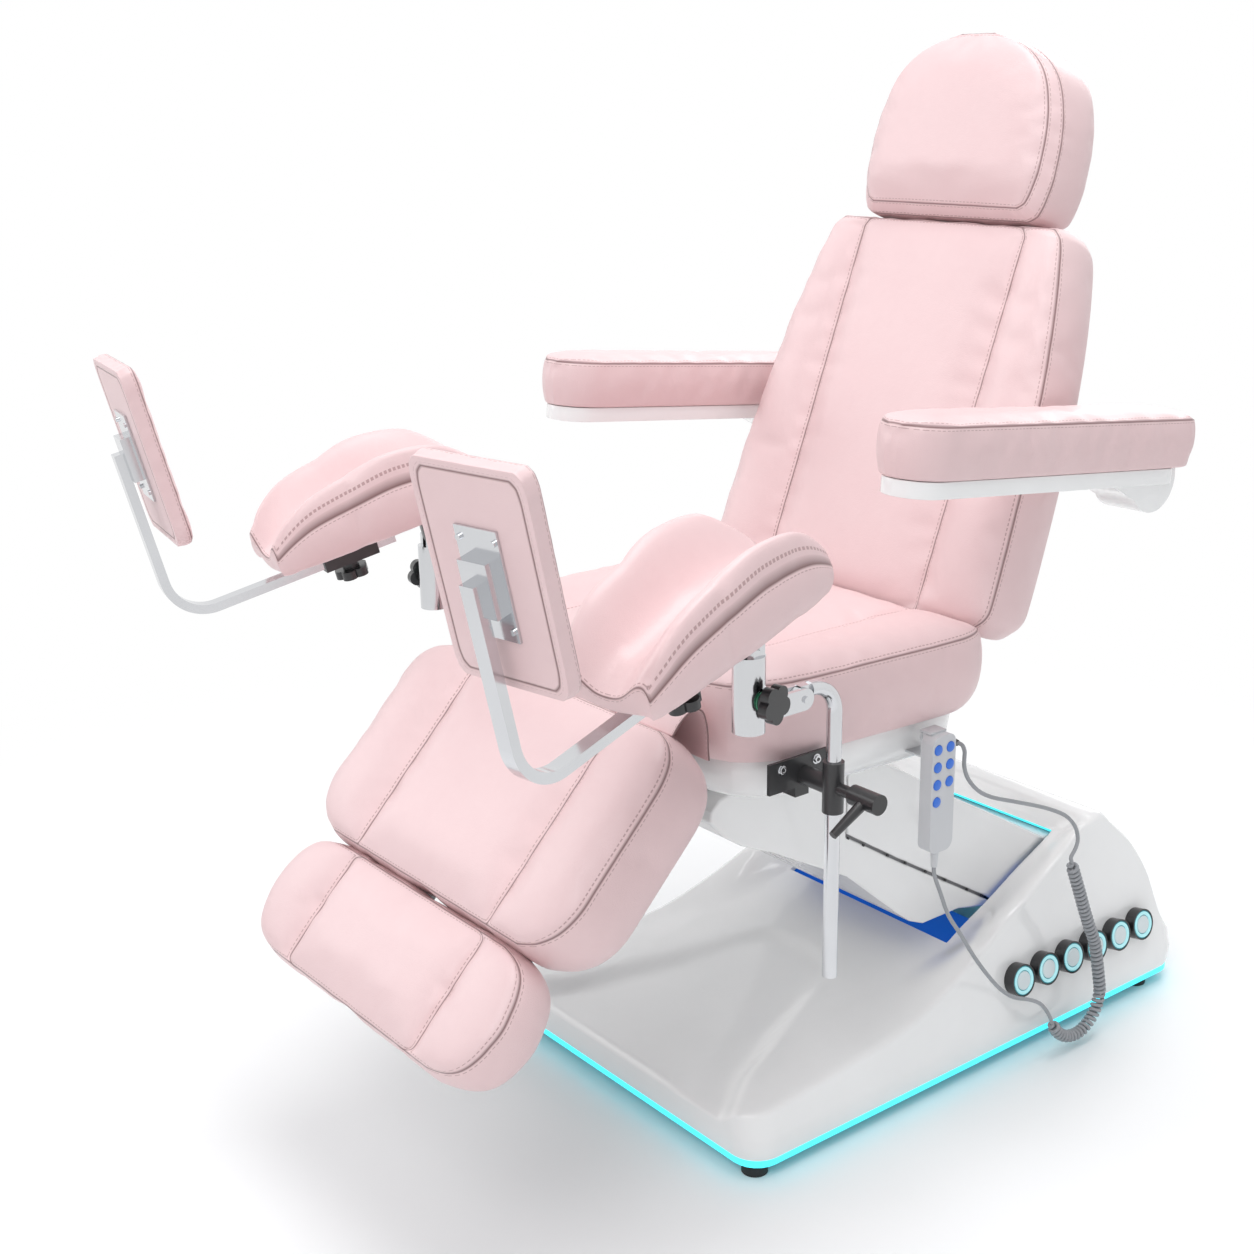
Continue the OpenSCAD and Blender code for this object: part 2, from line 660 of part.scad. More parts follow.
pad_rows_shares = [
    [0, 0.8, 0.38], [0.05, 0.9, 0.55], [0.2, 1, 0.88], [0.32, 1, 0.97], [0.44, 1, 1],
    [0.64, 0.97, 0.9], [0.8, 0.94, 0.8], [0.92, 0.88, 0.6], [1, 0.76, 0.36]
];
plate_rows_shares = [
    [0, 0.86, 0], [0.03, 0.96, 0.8], [0.1, 1, 1], [0.5, 1, 1], [0.9, 1, 1],
    [0.97, 0.96, 0.8], [1, 0.86, 0]
];
channel_rise_shares = [0.55, 0.6, 0.5, 0, 0.8, 1, 0];
plain_column_shares = [0, 0.4, 0.75, 0.93, 1];
plain_rise_shares = [1, 0.95, 0.75, 0.4, 0];
wing_rise_shares = [0.42, 0.46, 0.82, 1, 0.6];
channel_limit_share = 0.72;
bolster_share = 0.62;

function channel_columns(w) =
    let (g = min(channel_x, w * channel_limit_share), e = g + channel_half)
    [0, g / 2, g - channel_half, g, e, e + (w - e) * bolster_share, w];
function plain_columns(w) = [for (s = plain_column_shares) w * s];
function pad_top(length, half, rows, rises, height, channels) =
    [for (r = rows) let (w = half * r[1], xs = channels ? channel_columns(w) : plain_columns(w),
            n = len(xs) - 1)
        [for (i = [-n : n]) [sign(i) * xs[abs(i)], length * r[0], height * r[2] * rises[abs(i)]]]];
// A closed pad: its sewn top, then its wall drawn in or out at each step, then a flat bottom.
// The wall keeps its place along the pad at pin, the middle unless it is given
module sewn_pad(length, half, rows, rises, height, steps, channels = false, pin = undef) {
    top = pad_top(length, half, rows, rises, height, channels);
    m = len(top);
    n = len(top[0]);
    edge = grid_edge(m, n);
    k = len(edge);
    mid = length / 2;
    hold = is_undef(pin) ? mid : pin;
    reach = max(hold, length - hold);
    rings = [for (g = steps) for (e = edge) let (p = top[e[0]][e[1]])
        [p.x * (1 + g[0] / half), hold + (p.y - hold) * (1 + g[0] / reach), g[1]]];
    points = concat([for (row = top) each row], rings, [[0, mid, steps[len(steps) - 1][1]]]);
    ids = [for (g = [-1 : len(steps) - 1]) [for (i = [0 : k - 1])
        g < 0 ? edge[i][0] * n + edge[i][1] : m * n + g * k + i]];
    last_ring = ids[len(steps)];
    faces = concat(
        [for (r = [0 : m - 2]) for (c = [0 : n - 2]) let (a = r * n + c)
            each [[a, a + n, a + 1], [a + 1, a + n, a + n + 1]]],
        [for (g = [0 : len(steps) - 1]) each wall_faces(ids[g], ids[g + 1])],
        [for (i = [0 : k - 1]) [last_ring[i], last_ring[(i + 1) % k], len(points) - 1]]);
    polyhedron(points, faces);
}
bulge = 5;
seat_tuck = 18;
function main_steps(thick, tuck) = [[bulge, -thick / 3], [bulge / 2, -thick * 2 / 3], [-tuck, -thick]];
pink = "#eec9ca";

module seat_cushion() {
    color(pink) translate([0, seat_front, seat_seam_z])
        sewn_pad(seat_length, seat_half, seat_rows_shares, channel_rise_shares, crown,
            main_steps(seat_wall, seat_tuck), true);
}

// Seat pan: an open dish from its inner floor, over the rim and down its outer side
pan_top_z = seat_seam_z - seat_wall - part_gap;
pan_low_z = pan_top_z - pan_depth;
pan_rim_in = 25;
pan_low_in = 60;
pan_belly_in = 34;
gland_share = 0.89;
gland_y = seat_front + seat_length * gland_share;
gland_rise = 20;
gland_z = pan_top_z - pan_depth + gland_rise;
gland_d = 16;
gland_length = 38;
gland_bore_length = 20;
gland_in = 48;
function outline_of(length, half, rows) = concat(
    [for (r = rows) [half * r[1], length * r[0]]],
    [for (i = [len(rows) - 1 : -1 : 0]) [-half * rows[i][1], length * rows[i][0]]]);
module ring_loft(outline, length, half, steps) {
    k = len(outline);
    mid = length / 2;
    points = concat([[0, mid, steps[0][1]]],
        [for (g = steps) for (p = outline)
            [p.x * (1 - g[0] / half), mid + (p.y - mid) * (1 - g[0] / mid), g[1]]],
        [[0, mid, steps[len(steps) - 1][1]]]);
    ids = [for (g = [0 : len(steps) - 1]) [for (i = [0 : k - 1]) 1 + g * k + i]];
    faces = concat(
        [for (i = [0 : k - 1]) [0, ids[0][(i + 1) % k], ids[0][i]]],
        [for (g = [0 : len(steps) - 2]) each wall_faces(ids[g], ids[g + 1])],
        [for (i = [0 : k - 1])
            [ids[len(steps) - 1][i], ids[len(steps) - 1][(i + 1) % k], len(points) - 1]]);
    polyhedron(points, faces);
}
module seat_shell() {
    color("white") {
        difference() {
            translate([0, seat_front, 0])
                ring_loft(outline_of(seat_length, seat_half, seat_rows_shares), seat_length,
                    seat_half, [
                        [pan_low_in + pan_wall, pan_low_z + pan_wall],
                        [pan_belly_in + pan_wall, pan_low_z + pan_depth / 4 + pan_wall],
                        [pan_rim_in + pan_wall, pan_low_z + pan_depth * 2 / 3],
                        [pan_rim_in + pan_wall, pan_top_z], [pan_rim_in, pan_top_z],
                        [pan_rim_in, pan_low_z + pan_depth * 2 / 3],
                        [pan_belly_in, pan_low_z + pan_depth / 4], [pan_low_in, pan_low_z]]);
            translate([-lug_half - steel_plate, seat_pivot_y - slot_run / 2, pan_low_z - cut])
                cube([2 * (lug_half + steel_plate), slot_run, pan_wall + 2 * cut]);
            for (s = [left, right]) translate([s * leg_lug_x - steel_plate, seat_front,
                    leg_pivot_z - leg_hub_r - cut])
                cube([2 * steel_plate, seat_length / 4, pan_depth]);
            for (s = [left, right]) translate([s * back_lug_x - steel_plate,
                    seat_front + seat_length * 3 / 4, frame_low_z - part_gap])
                cube([2 * steel_plate, seat_length / 2, pan_depth]);
            for (s = [left, right]) on_side(s) translate([frame_x,
                    support_y - frame_bar / 2 - part_gap, frame_low_z - part_gap])
                cube([seat_half, frame_bar + 2 * part_gap, frame_bar + 2 * part_gap]);
            translate([frame_x, handset_y - hook_width / 2 - part_gap,
                    handset_top_z - hook_low - hook_plate - part_gap])
                cube([seat_half, hook_width + 2 * part_gap, hook_plate + 2 * part_gap]);
        }
        gland_at() {
            cylinder(h = gland_bore_length, d = gland_d);
            translate([0, 0, gland_bore_length])
                cylinder(h = gland_length - gland_bore_length, d1 = gland_d - sheet, d2 = cord_d + sheet);
        }
    }
}
gland_x = seat_half - gland_in;
module gland_at() {
    translate([gland_x, gland_y, gland_z]) rotate([0, 90, 0]) children();
}

// Seat frame inside the pan, with the lugs of the arm, the backrest and the leg rest
frame_low_z = pan_low_z + 2 * steel_plate;
frame_bar = 24;
frame_x = 200;
frame_front_in = 49;
frame_rear_seat_in = 41;
frame_y0 = seat_front + frame_front_in;
frame_y1 = seat_front + seat_length - frame_rear_seat_in;
back_lug_x = 186;
leg_lug_x = 150;
back_pivot_behind = 27;
back_pivot_under = 41;
leg_pivot_under = 7;
back_pivot_y = seat_front + seat_length + back_pivot_behind;
back_pivot_z = seat_seam_z - back_pivot_under;
leg_pivot_y = seat_front;
leg_pivot_z = seat_seam_z - seat_wall - leg_pivot_under;
leg_hub_r = 13;
back_hub_r = 16;
module seat_frame() {
    color("dimgray") {
        for (s = [left, right]) translate([s * frame_x - frame_bar / 2, frame_y0, frame_low_z])
            cube([frame_bar, frame_y1 - frame_y0, frame_bar]);
        for (y = [frame_y0, frame_y1 - frame_bar])
            translate([-frame_x + frame_bar / 2, y, frame_low_z])
                cube([2 * frame_x - frame_bar, frame_bar, frame_bar]);
        translate([-frame_x + frame_bar / 2, seat_pivot_y - seat_hub_r, frame_low_z])
            cube([2 * frame_x - frame_bar, 2 * seat_hub_r, steel_plate]);
        for (s = [left, right]) difference() {
            union() {
                translate([s * (lug_half - steel_plate / 2), 0, 0]) slab() translate(
                        [seat_pivot_y - seat_hub_r, seat_pivot_z])
                    square([2 * seat_hub_r, frame_low_z - seat_pivot_z]);
                translate([s * (lug_half - steel_plate / 2), 0, 0]) slab() translate(
                        [seat_pivot_y, seat_pivot_z]) circle(seat_hub_r);
            }
            along_x(2 * well_side, seat_pivot_y, seat_pivot_z) circle(seat_shaft_d / 2 + run_gap);
        }
        for (s = [left, right]) {
            translate([s * leg_lug_x, 0, 0]) slab()
                translate([leg_pivot_y, leg_pivot_z - leg_hub_r])
                    square([frame_y0 - leg_pivot_y, leg_hub_r * 3 / 2]);
            translate([s * leg_lug_x, 0, 0]) slab()
                translate([frame_y0 - steel_plate, frame_low_z])
                    square([steel_plate, leg_pivot_z - leg_hub_r - frame_low_z + cut]);
            translate([s * leg_lug_x, 0, 0]) slab()
                translate([leg_pivot_y, leg_pivot_z]) circle(leg_hub_r);
            translate([s * back_lug_x, 0, 0]) slab() polygon([
                [frame_y1 - frame_bar, frame_low_z], [back_pivot_y, frame_low_z],
                [back_pivot_y + back_hub_r, back_pivot_z],
                [back_pivot_y - back_hub_r, back_pivot_z],
                [back_pivot_y - back_hub_r, frame_low_z + 2 * frame_bar],
                [frame_y1 - frame_bar, frame_low_z + frame_bar]]);
            translate([s * back_lug_x, 0, 0]) slab()
                translate([back_pivot_y, back_pivot_z]) circle(back_hub_r);
        }
        along_x(2 * (leg_lug_x + 2 * steel_plate), leg_pivot_y, leg_pivot_z) circle(leg_shaft_d / 2);
        along_x(2 * (back_lug_x + 2 * steel_plate), back_pivot_y, back_pivot_z)
            circle(back_shaft_d / 2);
    }
}
// A plate one steel thickness thick, square to X about the middle
module slab() { rotate([90, 0, 90]) linear_extrude(steel_plate, center = true) children(); }

// Mirrors a piece to the right side of the chair
module on_side(s) { mirror([s < 0 ? 1 : 0, 0, 0]) children(); }

// Clamp on each side: a bolted plate, a cross tube and the sleeve that holds the rod
clamp_plate_in = 57;
clamp_plate_x = support_x - clamp_plate_in;
clamp_plate_thick = 5;
clamp_plate_run = 103;
clamp_plate_height = 42;
clamp_plate_ahead = 62;
clamp_plate_up = 7;
cross_tube_d = 26;
sleeve_height = 69;
clamp_bolt_pitch = 61;
clamp_head_d = 10;
clamp_head_height = 4;
handle_seat = 22;
handle_bore_d = 10;
module clamp_brackets() {
    for (s = [left, right]) on_side(s) color("#3c3c3e") {
        translate([clamp_plate_x, support_y - clamp_plate_ahead,
                sleeve_z + clamp_plate_up - clamp_plate_height / 2])
            cube([clamp_plate_thick, clamp_plate_run, clamp_plate_height]);
        for (i = [0, 1]) translate([clamp_plate_x + clamp_plate_thick,
                support_y - clamp_plate_ahead + (clamp_plate_run - clamp_bolt_pitch) / 2
                    + i * clamp_bolt_pitch,
                sleeve_z + clamp_plate_up + clamp_plate_height / 4])
            rotate([0, 90, 0]) cylinder(h = clamp_head_height, d = clamp_head_d);
        clamp_rail_x = frame_x + frame_bar / 2;
        translate([clamp_rail_x, support_y - frame_bar / 2, frame_low_z])
            cube([clamp_plate_x - clamp_rail_x, frame_bar, frame_bar]);
        difference() {
            union() {
                translate([support_x, support_y, sleeve_z - sleeve_height / 2])
                    cylinder(h = sleeve_height, d = sleeve_d);
                translate([clamp_plate_x + clamp_plate_thick, support_y, sleeve_z])
                    rotate([0, 90, 0]) cylinder(h = support_x - clamp_plate_x
                        - clamp_plate_thick, d = cross_tube_d);
                translate([support_x, support_y, sleeve_z]) rotate([0, 90, 0])
                    cylinder(h = sleeve_d / 2 + handle_seat, d = handle_bore_d + 2 * sheet);
            }
            translate([support_x, support_y, sleeve_z - sleeve_height])
                cylinder(h = 2 * sleeve_height, d = rod_d + 2 * run_gap);
            translate([support_x, support_y, sleeve_z]) rotate([0, 90, 0])
                cylinder(h = sleeve_d / 2 + handle_seat + cut, d = handle_bore_d + 2 * run_gap);
        }
    }
}
hub_d = 27;
hub_length = 46;
lever_length = 66;
lever_angle = 29;
lever_d1 = 16;
lever_d2 = 11;
module clamp_handle(s) {
    on_side(s) color("#1c1c1e") {
        translate([support_x + rod_d / 2 + sheet, support_y, sleeve_z]) rotate([0, 90, 0])
            cylinder(h = sleeve_d / 2 + handle_seat - rod_d / 2 + part_gap, d = handle_bore_d);
        translate([support_x + sleeve_d / 2 + handle_seat + part_gap, support_y, sleeve_z])
            rotate([0, 90, 0]) cylinder(h = hub_length, d = hub_d);
        translate([support_x + sleeve_d / 2 + handle_seat + hub_length / 2, support_y, sleeve_z])
            rotate([lever_angle - 90, 0, 0]) mirror([0, 0, 1])
                cylinder(h = lever_length, d1 = lever_d1, d2 = lever_d2);
    }
}

// Rod: upright, bent forward, and flattened to an eye
rod_bend = 40;
tube_y = -tube_ahead;
eye_y = 13;
eye_thick = 10;
eye_r = 14;
eye_drop = 8;
fork_gap = 0.4;
fork_cheek = 6;
pivot_d = 9;
module support_rod(s) {
    on_side(s) color("silver") {
        translate([support_x, support_y, rod_low_z])
            cylinder(h = rod_top_z - rod_bend - rod_low_z, d = rod_d);
        translate([support_x, support_y - rod_bend, rod_top_z - rod_bend]) rotate([0, -90, 0])
            rotate_extrude(angle = 90) translate([rod_bend, 0]) circle(d = rod_d);
        translate([support_x, support_y - rod_bend, rod_top_z]) rotate([90, 0, 0])
            cylinder(h = support_y - rod_bend - eye_y - eye_r - cut, d = rod_d);
        difference() {
            translate([support_x - eye_thick / 2, eye_y - sheet, rod_top_z - rod_d / 2 - eye_drop / 4])
                cube([eye_thick, eye_r + 2 * sheet, rod_d]);
            along_x(2 * eye_thick, eye_y, rod_top_z - eye_drop, support_x)
                circle(pivot_d / 2 + run_gap);
            along_x(2 * eye_thick, eye_y, rod_top_z - eye_drop, support_x)
                circle(eye_r - sheet);
        }
        difference() {
            along_x(eye_thick, eye_y, rod_top_z - eye_drop, support_x) circle(eye_r);
            along_x(2 * eye_thick, eye_y, rod_top_z - eye_drop, support_x)
                circle(pivot_d / 2 + run_gap);
        }
    }
}

// Upright tube with its rear fork, the slot for its knob, and the clevis under the pad
tube_low_z = 708;
tube_high_z = 805;
slot_d = 11;
slot_length = 22;
knob_z = 751;
clevis_z = 818;
clevis_r = 11;
clevis_half = 16;
lug_thick = 12;
tube_wall = 3;
module yawed() { translate([support_x, tube_y, 0]) rotate([0, 0, toe_out]) children(); }
module support_tube(s) {
    on_side(s) color("gainsboro") {
        difference() {
            union() {
                translate([support_x, tube_y, tube_low_z])
                    cylinder(h = tube_high_z - tube_low_z, d = tube_d);
                for (c = [left, right]) difference() {
                    translate([support_x + c * (eye_thick / 2 + fork_gap + fork_cheek / 2)
                            - fork_cheek / 2, tube_y, rod_top_z - eye_drop - eye_r])
                        cube([fork_cheek, eye_y - tube_y, 2 * eye_r]);
                    along_x(fork_cheek * 4, eye_y, rod_top_z - eye_drop, support_x)
                        circle(eye_r * 2 / 3);
                }
                for (c = [left, right]) along_x(fork_cheek, eye_y, rod_top_z - eye_drop,
                        support_x + c * (eye_thick / 2 + fork_gap + fork_cheek / 2))
                    circle(eye_r);
            }
            translate([support_x, tube_y, tube_low_z - cut])
                cylinder(h = tube_high_z - tube_low_z, d = tube_d - 2 * tube_wall);
            yawed() translate([0, 0, knob_z]) rotate([0, 90, 0]) for (o = [-slot_length / 2,
                    slot_length / 2])
                translate([o, 0, 0]) cylinder(h = tube_d, d = slot_d);
            yawed() translate([0, -slot_d / 2, knob_z - slot_length / 2])
                cube([tube_d, slot_d, slot_length]);
        }
        along_x(eye_thick + 2 * (fork_gap + fork_cheek) + 2 * sheet, eye_y,
            rod_top_z - eye_drop, support_x) circle(pivot_d / 2);
        yawed() for (c = [left, right]) translate([c * (lug_thick / 2 + part_gap
                + (clevis_half - lug_thick / 2 - part_gap) / 2), 0, 0])
            rotate([90, 0, 90]) linear_extrude(clevis_half - lug_thick / 2 - part_gap,
                    center = true) {
                translate([-clevis_r, tube_high_z]) square([2 * clevis_r, clevis_z - tube_high_z]);
                translate([0, clevis_z]) circle(clevis_r);
            }
        yawed() translate([0, 0, clevis_z]) rotate([0, 90, 0])
            cylinder(h = 2 * (clevis_half + sheet), d = pivot_d, center = true);
    }
}
knob_lobes = 5;
knob_thick = 17;
knob_stem = 9;
stud_d = 8;
washer_d = 26;
// Star knob on a stud, its face looking along +Z, its stud below
module star_knob(stud) {
    rotate([180, 0, 0]) cylinder(h = stud, d = stud_d);
    cylinder(h = knob_stem, d = knob_d / 2);
    translate([0, 0, knob_stem]) linear_extrude(knob_thick - knob_stem / 2) {
        circle(knob_d / 3);
        for (i = [0 : knob_lobes - 1]) rotate(i * 360 / knob_lobes)
            translate([knob_d / 3 - sheet, 0]) circle(knob_d / 6 + sheet);
    }
}
module tube_knob(s) {
    on_side(s) yawed() translate([tube_d / 2 + part_gap, 0, knob_z]) rotate([0, 90, 0]) {
        color("seagreen") difference() {
            cylinder(h = washer, d = washer_d);
            translate([0, 0, -cut]) cylinder(h = washer + 2 * cut, d = stud_d);
        }
        color("#1c1c1e") translate([0, 0, washer]) star_knob(tube_d / 3);
    }
}

// Leg pad, its slide and clevis lug, the bent bar and the foot plate, in a frame whose
// -Y runs forward along the bar's lower leg and whose Z stands square to it
pad_under = 16;
wing_tuck = 28;
pad_rear = 87;
pad_frame_y = 5.5;
pivot_drop = 22;
bar_rear = 62;
bar_bend = 60;
slide_near = 92;
slide_length = 84;
slide_wall = 5;
slide_gap = 0.3;
pad_board = 6;
knob_ahead = 136;
module pad_place(s) {
    on_side(s) yawed() translate([0, 0, clevis_z]) rotate([pad_slope, 0, 0])
        translate([0, pad_frame_y, pivot_drop]) children();
}
module leg_pad(s) {
    pad_place(s) {
        color(pink) translate([0, pad_rear - pad_length, pad_under + pad_board])
            translate([0, pad_length, 0]) rotate([0, 0, 180])
                sewn_pad(pad_length, pad_half, pad_rows_shares, wing_rise_shares,
                    wing_height, [[-wing_tuck / 3, wing_height / 5], [-wing_tuck, 0]]);
        color("#2a2a2c") {
            translate([-pad_half / 2, pad_rear - pad_length * 3 / 4, pad_under])
                cube([pad_half, pad_length * 2 / 3, pad_board - run_gap]);
            difference() {
                translate([-bar_width / 2 - slide_wall, -slide_near - slide_length,
                        -bar_thick / 2 - slide_wall])
                    cube([bar_width + 2 * slide_wall, slide_length,
                        bar_thick / 2 + slide_wall + pad_under + run_gap]);
                translate([-bar_width / 2 - slide_gap, -slide_near - slide_length - cut,
                        -bar_thick / 2 - slide_gap])
                    cube([bar_width + 2 * slide_gap, slide_length + 2 * cut,
                        bar_thick + 2 * slide_gap]);
                translate([0, -knob_ahead, -bar_thick / 2 - slide_wall - cut])
                    cylinder(h = slide_wall + cut, d = stud_d + 2 * run_gap);
            }
            difference() {
                union() {
                    translate([0, -pad_frame_y, 0]) slab_of(lug_thick)
                        translate([-clevis_r, -pivot_drop])
                            square([2 * clevis_r, pivot_drop + pad_under + run_gap]);
                    translate([0, -pad_frame_y, -pivot_drop]) slab_of(lug_thick) circle(clevis_r);
                }
                translate([0, -pad_frame_y, -pivot_drop]) slab_of(2 * lug_thick)
                    circle(pivot_d / 2 + run_gap);
            }
        }
    }
}
module slab_of(t) { rotate([90, 0, 90]) linear_extrude(t, center = true) children(); }
module pad_knob(s) {
    color("#1c1c1e") pad_place(s)
        translate([0, -knob_ahead, -bar_thick / 2 - slide_wall - part_gap])
            rotate([180, 0, 0]) star_knob(slide_wall);
}
spacer = 14;
mount_width = 60;
mount_height = 124;
mount_low = 180;
screw_pitch_x = 49;
screw_pitch_z = 98;
screw_d = 7;
module foot_bar(s) {
    pad_place(s) color("silver") {
        translate([-bar_width / 2, -bar_reach + bar_bend, -bar_thick / 2])
            cube([bar_width, bar_reach - bar_bend - bar_rear, bar_thick]);
        translate([-bar_width / 2, -bar_reach - bar_thick / 2, bar_bend])
            cube([bar_width, bar_thick, bar_height - bar_bend]);
        translate([0, -bar_reach + bar_bend, bar_bend]) rotate([90, 180, 90])
            rotate_extrude(angle = 90) translate([bar_bend, 0])
                square([bar_thick, bar_width], center = true);
        plate_back = bar_reach - bar_thick / 2 - spacer;
        translate([-bar_width, -plate_back - spacer, mount_low + mount_height / 4])
            cube([2 * bar_width, spacer, mount_height / 2]);
        translate([-mount_width / 2, -plate_back, mount_low])
            cube([mount_width, sheet, mount_height]);
        for (i = [-1, 1]) for (j = [-1, 1])
            translate([i * screw_pitch_x / 2, -plate_back,
                    mount_low + mount_height / 2 + j * screw_pitch_z / 2])
                rotate([90, 0, 0]) cylinder(h = sheet, d = screw_d);
    }
}
plate_low = 121;
module foot_pad(s) {
    pad_place(s) color(pink)
        translate([0, -bar_reach + bar_thick / 2 + spacer + sheet + part_gap + plate_thick
                * 4 / 5, plate_low + plate_height])
            rotate([-90, 0, 0]) sewn_pad(plate_height, plate_half, plate_rows_shares,
                plain_rise_shares, plate_thick / 5,
                [[bulge / 3, -plate_thick / 3], [-bulge / 3, -plate_thick * 4 / 5]]);
}

// Backrest frame of reference: Y up the slope, Z out of the front, at the foot of its plane
back_foot_ahead = 22;
back_foot_rise = 32;
back_foot_y = back_pivot_y - back_foot_ahead;
back_foot_z = back_pivot_z + back_foot_rise;
module back_place() {
    translate([0, back_foot_y, back_foot_z]) rotate([90 - back_recline, 0, 0]) children();
}
module back_cushion() {
    color(pink) back_place() sewn_pad(back_length, back_half, back_rows_shares,
        channel_rise_shares, crown, main_steps(back_thick, seat_tuck), true);
}
back_board = 10;
back_board_half = 215;
board_low = 12;
board_top_in = 60;
back_depth = back_thick + part_gap;
socket_x = 50;
socket_wall = 4;
socket_depth = back_depth + back_board + head_post_d;
socket_reach = 300;
socket_low = back_length - socket_reach;
arm_pivot_up = 273;
arm_pivot_back = 27;
function in_back(up, back) = [
    back_foot_y + up * sin(back_recline) + back * cos(back_recline),
    back_foot_z + up * cos(back_recline) - back * sin(back_recline)];
arm_pivot = in_back(arm_pivot_up, back_depth + back_board + arm_pivot_back);
arm_inner_x = arm_x - armrest_width / 2;
arm_tube_half = arm_x + armrest_width / 5;
module back_frame() {
    color("gainsboro") {
        back_place() {
            translate([0, 0, -back_depth - back_board]) linear_extrude(back_board)
                translate([0, (board_low + back_length - board_top_in) / 2])
                    polygon(rounded(2 * back_board_half, back_length - board_top_in - board_low,
                        board_top_in));
            for (i = [-1, 1]) difference() {
                translate([i * socket_x, socket_low, -socket_depth]) rotate([-90, 0, 0])
                    cylinder(h = back_length - board_top_in - socket_low,
                        d = head_post_d + 2 * socket_wall);
                translate([i * socket_x, socket_low - cut, -socket_depth]) rotate([-90, 0, 0])
                    cylinder(h = back_length, d = head_post_d + 2 * run_gap);
            }
            for (s = [left, right]) translate([s * (back_lug_x - 2 * steel_plate)
                    - steel_plate / 2, arm_pivot_up - bolt_d,
                    -back_depth - back_board - arm_pivot_back])
                cube([steel_plate, 2 * bolt_d, arm_pivot_back]);
        }
        along_x(2 * arm_tube_half, arm_pivot[0], arm_pivot[1]) circle(arm_tube_d / 2);
        for (s = [left, right]) difference() {
            union() {
                translate([s * (back_lug_x - steel_plate - part_gap), 0, 0]) slab()
                    translate([back_pivot_y, back_pivot_z]) circle(back_hub_r);
                translate([s * (back_lug_x - steel_plate - part_gap), 0, 0]) slab()
                    polygon([
                        [back_pivot_y, back_pivot_z - back_hub_r],
                        in_back(0, back_depth + back_board + back_hub_r),
                        in_back(board_low + 2 * frame_bar, back_depth + back_board + back_hub_r),
                        in_back(board_low + 2 * frame_bar, back_depth + back_board),
                        in_back(board_low - part_gap, back_depth),
                        in_back(-3 * part_gap - bulge, back_depth - back_hub_r),
                        in_back(-3 * part_gap - bulge, back_hub_r * 3)]);
            }
            along_x(base_half * 2, back_pivot_y, back_pivot_z)
                circle(back_shaft_d / 2 + run_gap);
        }
    }
}

// Headrest on two posts that slide in the backrest's sockets
head_gap_up = 22;
head_ahead = 14;
head_foot = in_back(back_length + head_gap_up, -head_ahead);
post_up = 100;
post_down = 230;
hinge_d = 20;
head_lug_half = 30;
head_hinge = in_back(back_length + post_up, socket_depth);
module headrest_post() {
    color("silver") {
        back_place() for (i = [-1, 1])
            translate([i * socket_x, back_length - post_down, -socket_depth]) rotate([-90, 0, 0])
                cylinder(h = post_down + post_up, d = head_post_d);
        along_x(2 * socket_x + 2 * head_post_d, head_hinge[0], head_hinge[1])
            circle(hinge_d / 2);
    }
}
module head_place() {
    translate([0, head_foot[0], head_foot[1]]) rotate([90 - head_tilt, 0, 0]) children();
}
head_tuck = 6;
head_flare = 16;
module headrest_cushion() {
    color(pink) head_place() sewn_pad(head_length, head_half, head_rows_shares,
        plain_rise_shares, crown, [[head_flare, -head_thick / 6],
            [head_flare, -head_thick * 4 / 5], [-head_tuck, -head_thick]], pin = head_length);
    head_reach = [head_hinge[0] - head_foot[0], head_hinge[1] - head_foot[1]];
    hinge_up = head_reach[0] * sin(head_tilt) + head_reach[1] * cos(head_tilt);
    hinge_back = head_reach[0] * cos(head_tilt) - head_reach[1] * sin(head_tilt);
    color("gainsboro") {
        head_place() translate([-head_lug_half * 3 / 2, hinge_up - hinge_d,
                -head_thick - part_gap - sheet])
            cube([3 * head_lug_half, 3 * hinge_d, sheet]);
        difference() {
            union() {
                along_x(head_lug_half, head_hinge[0], head_hinge[1])
                    circle(hinge_d / 2 + socket_wall);
                head_place() translate([-head_lug_half / 3, hinge_up - hinge_d / 3, -hinge_back])
                    cube([head_lug_half * 2 / 3, hinge_d * 2 / 3,
                        hinge_back - head_thick - part_gap - sheet / 2]);
            }
            along_x(2 * head_lug_half, head_hinge[0], head_hinge[1])
                circle(hinge_d / 2 + run_gap);
        }
    }
}

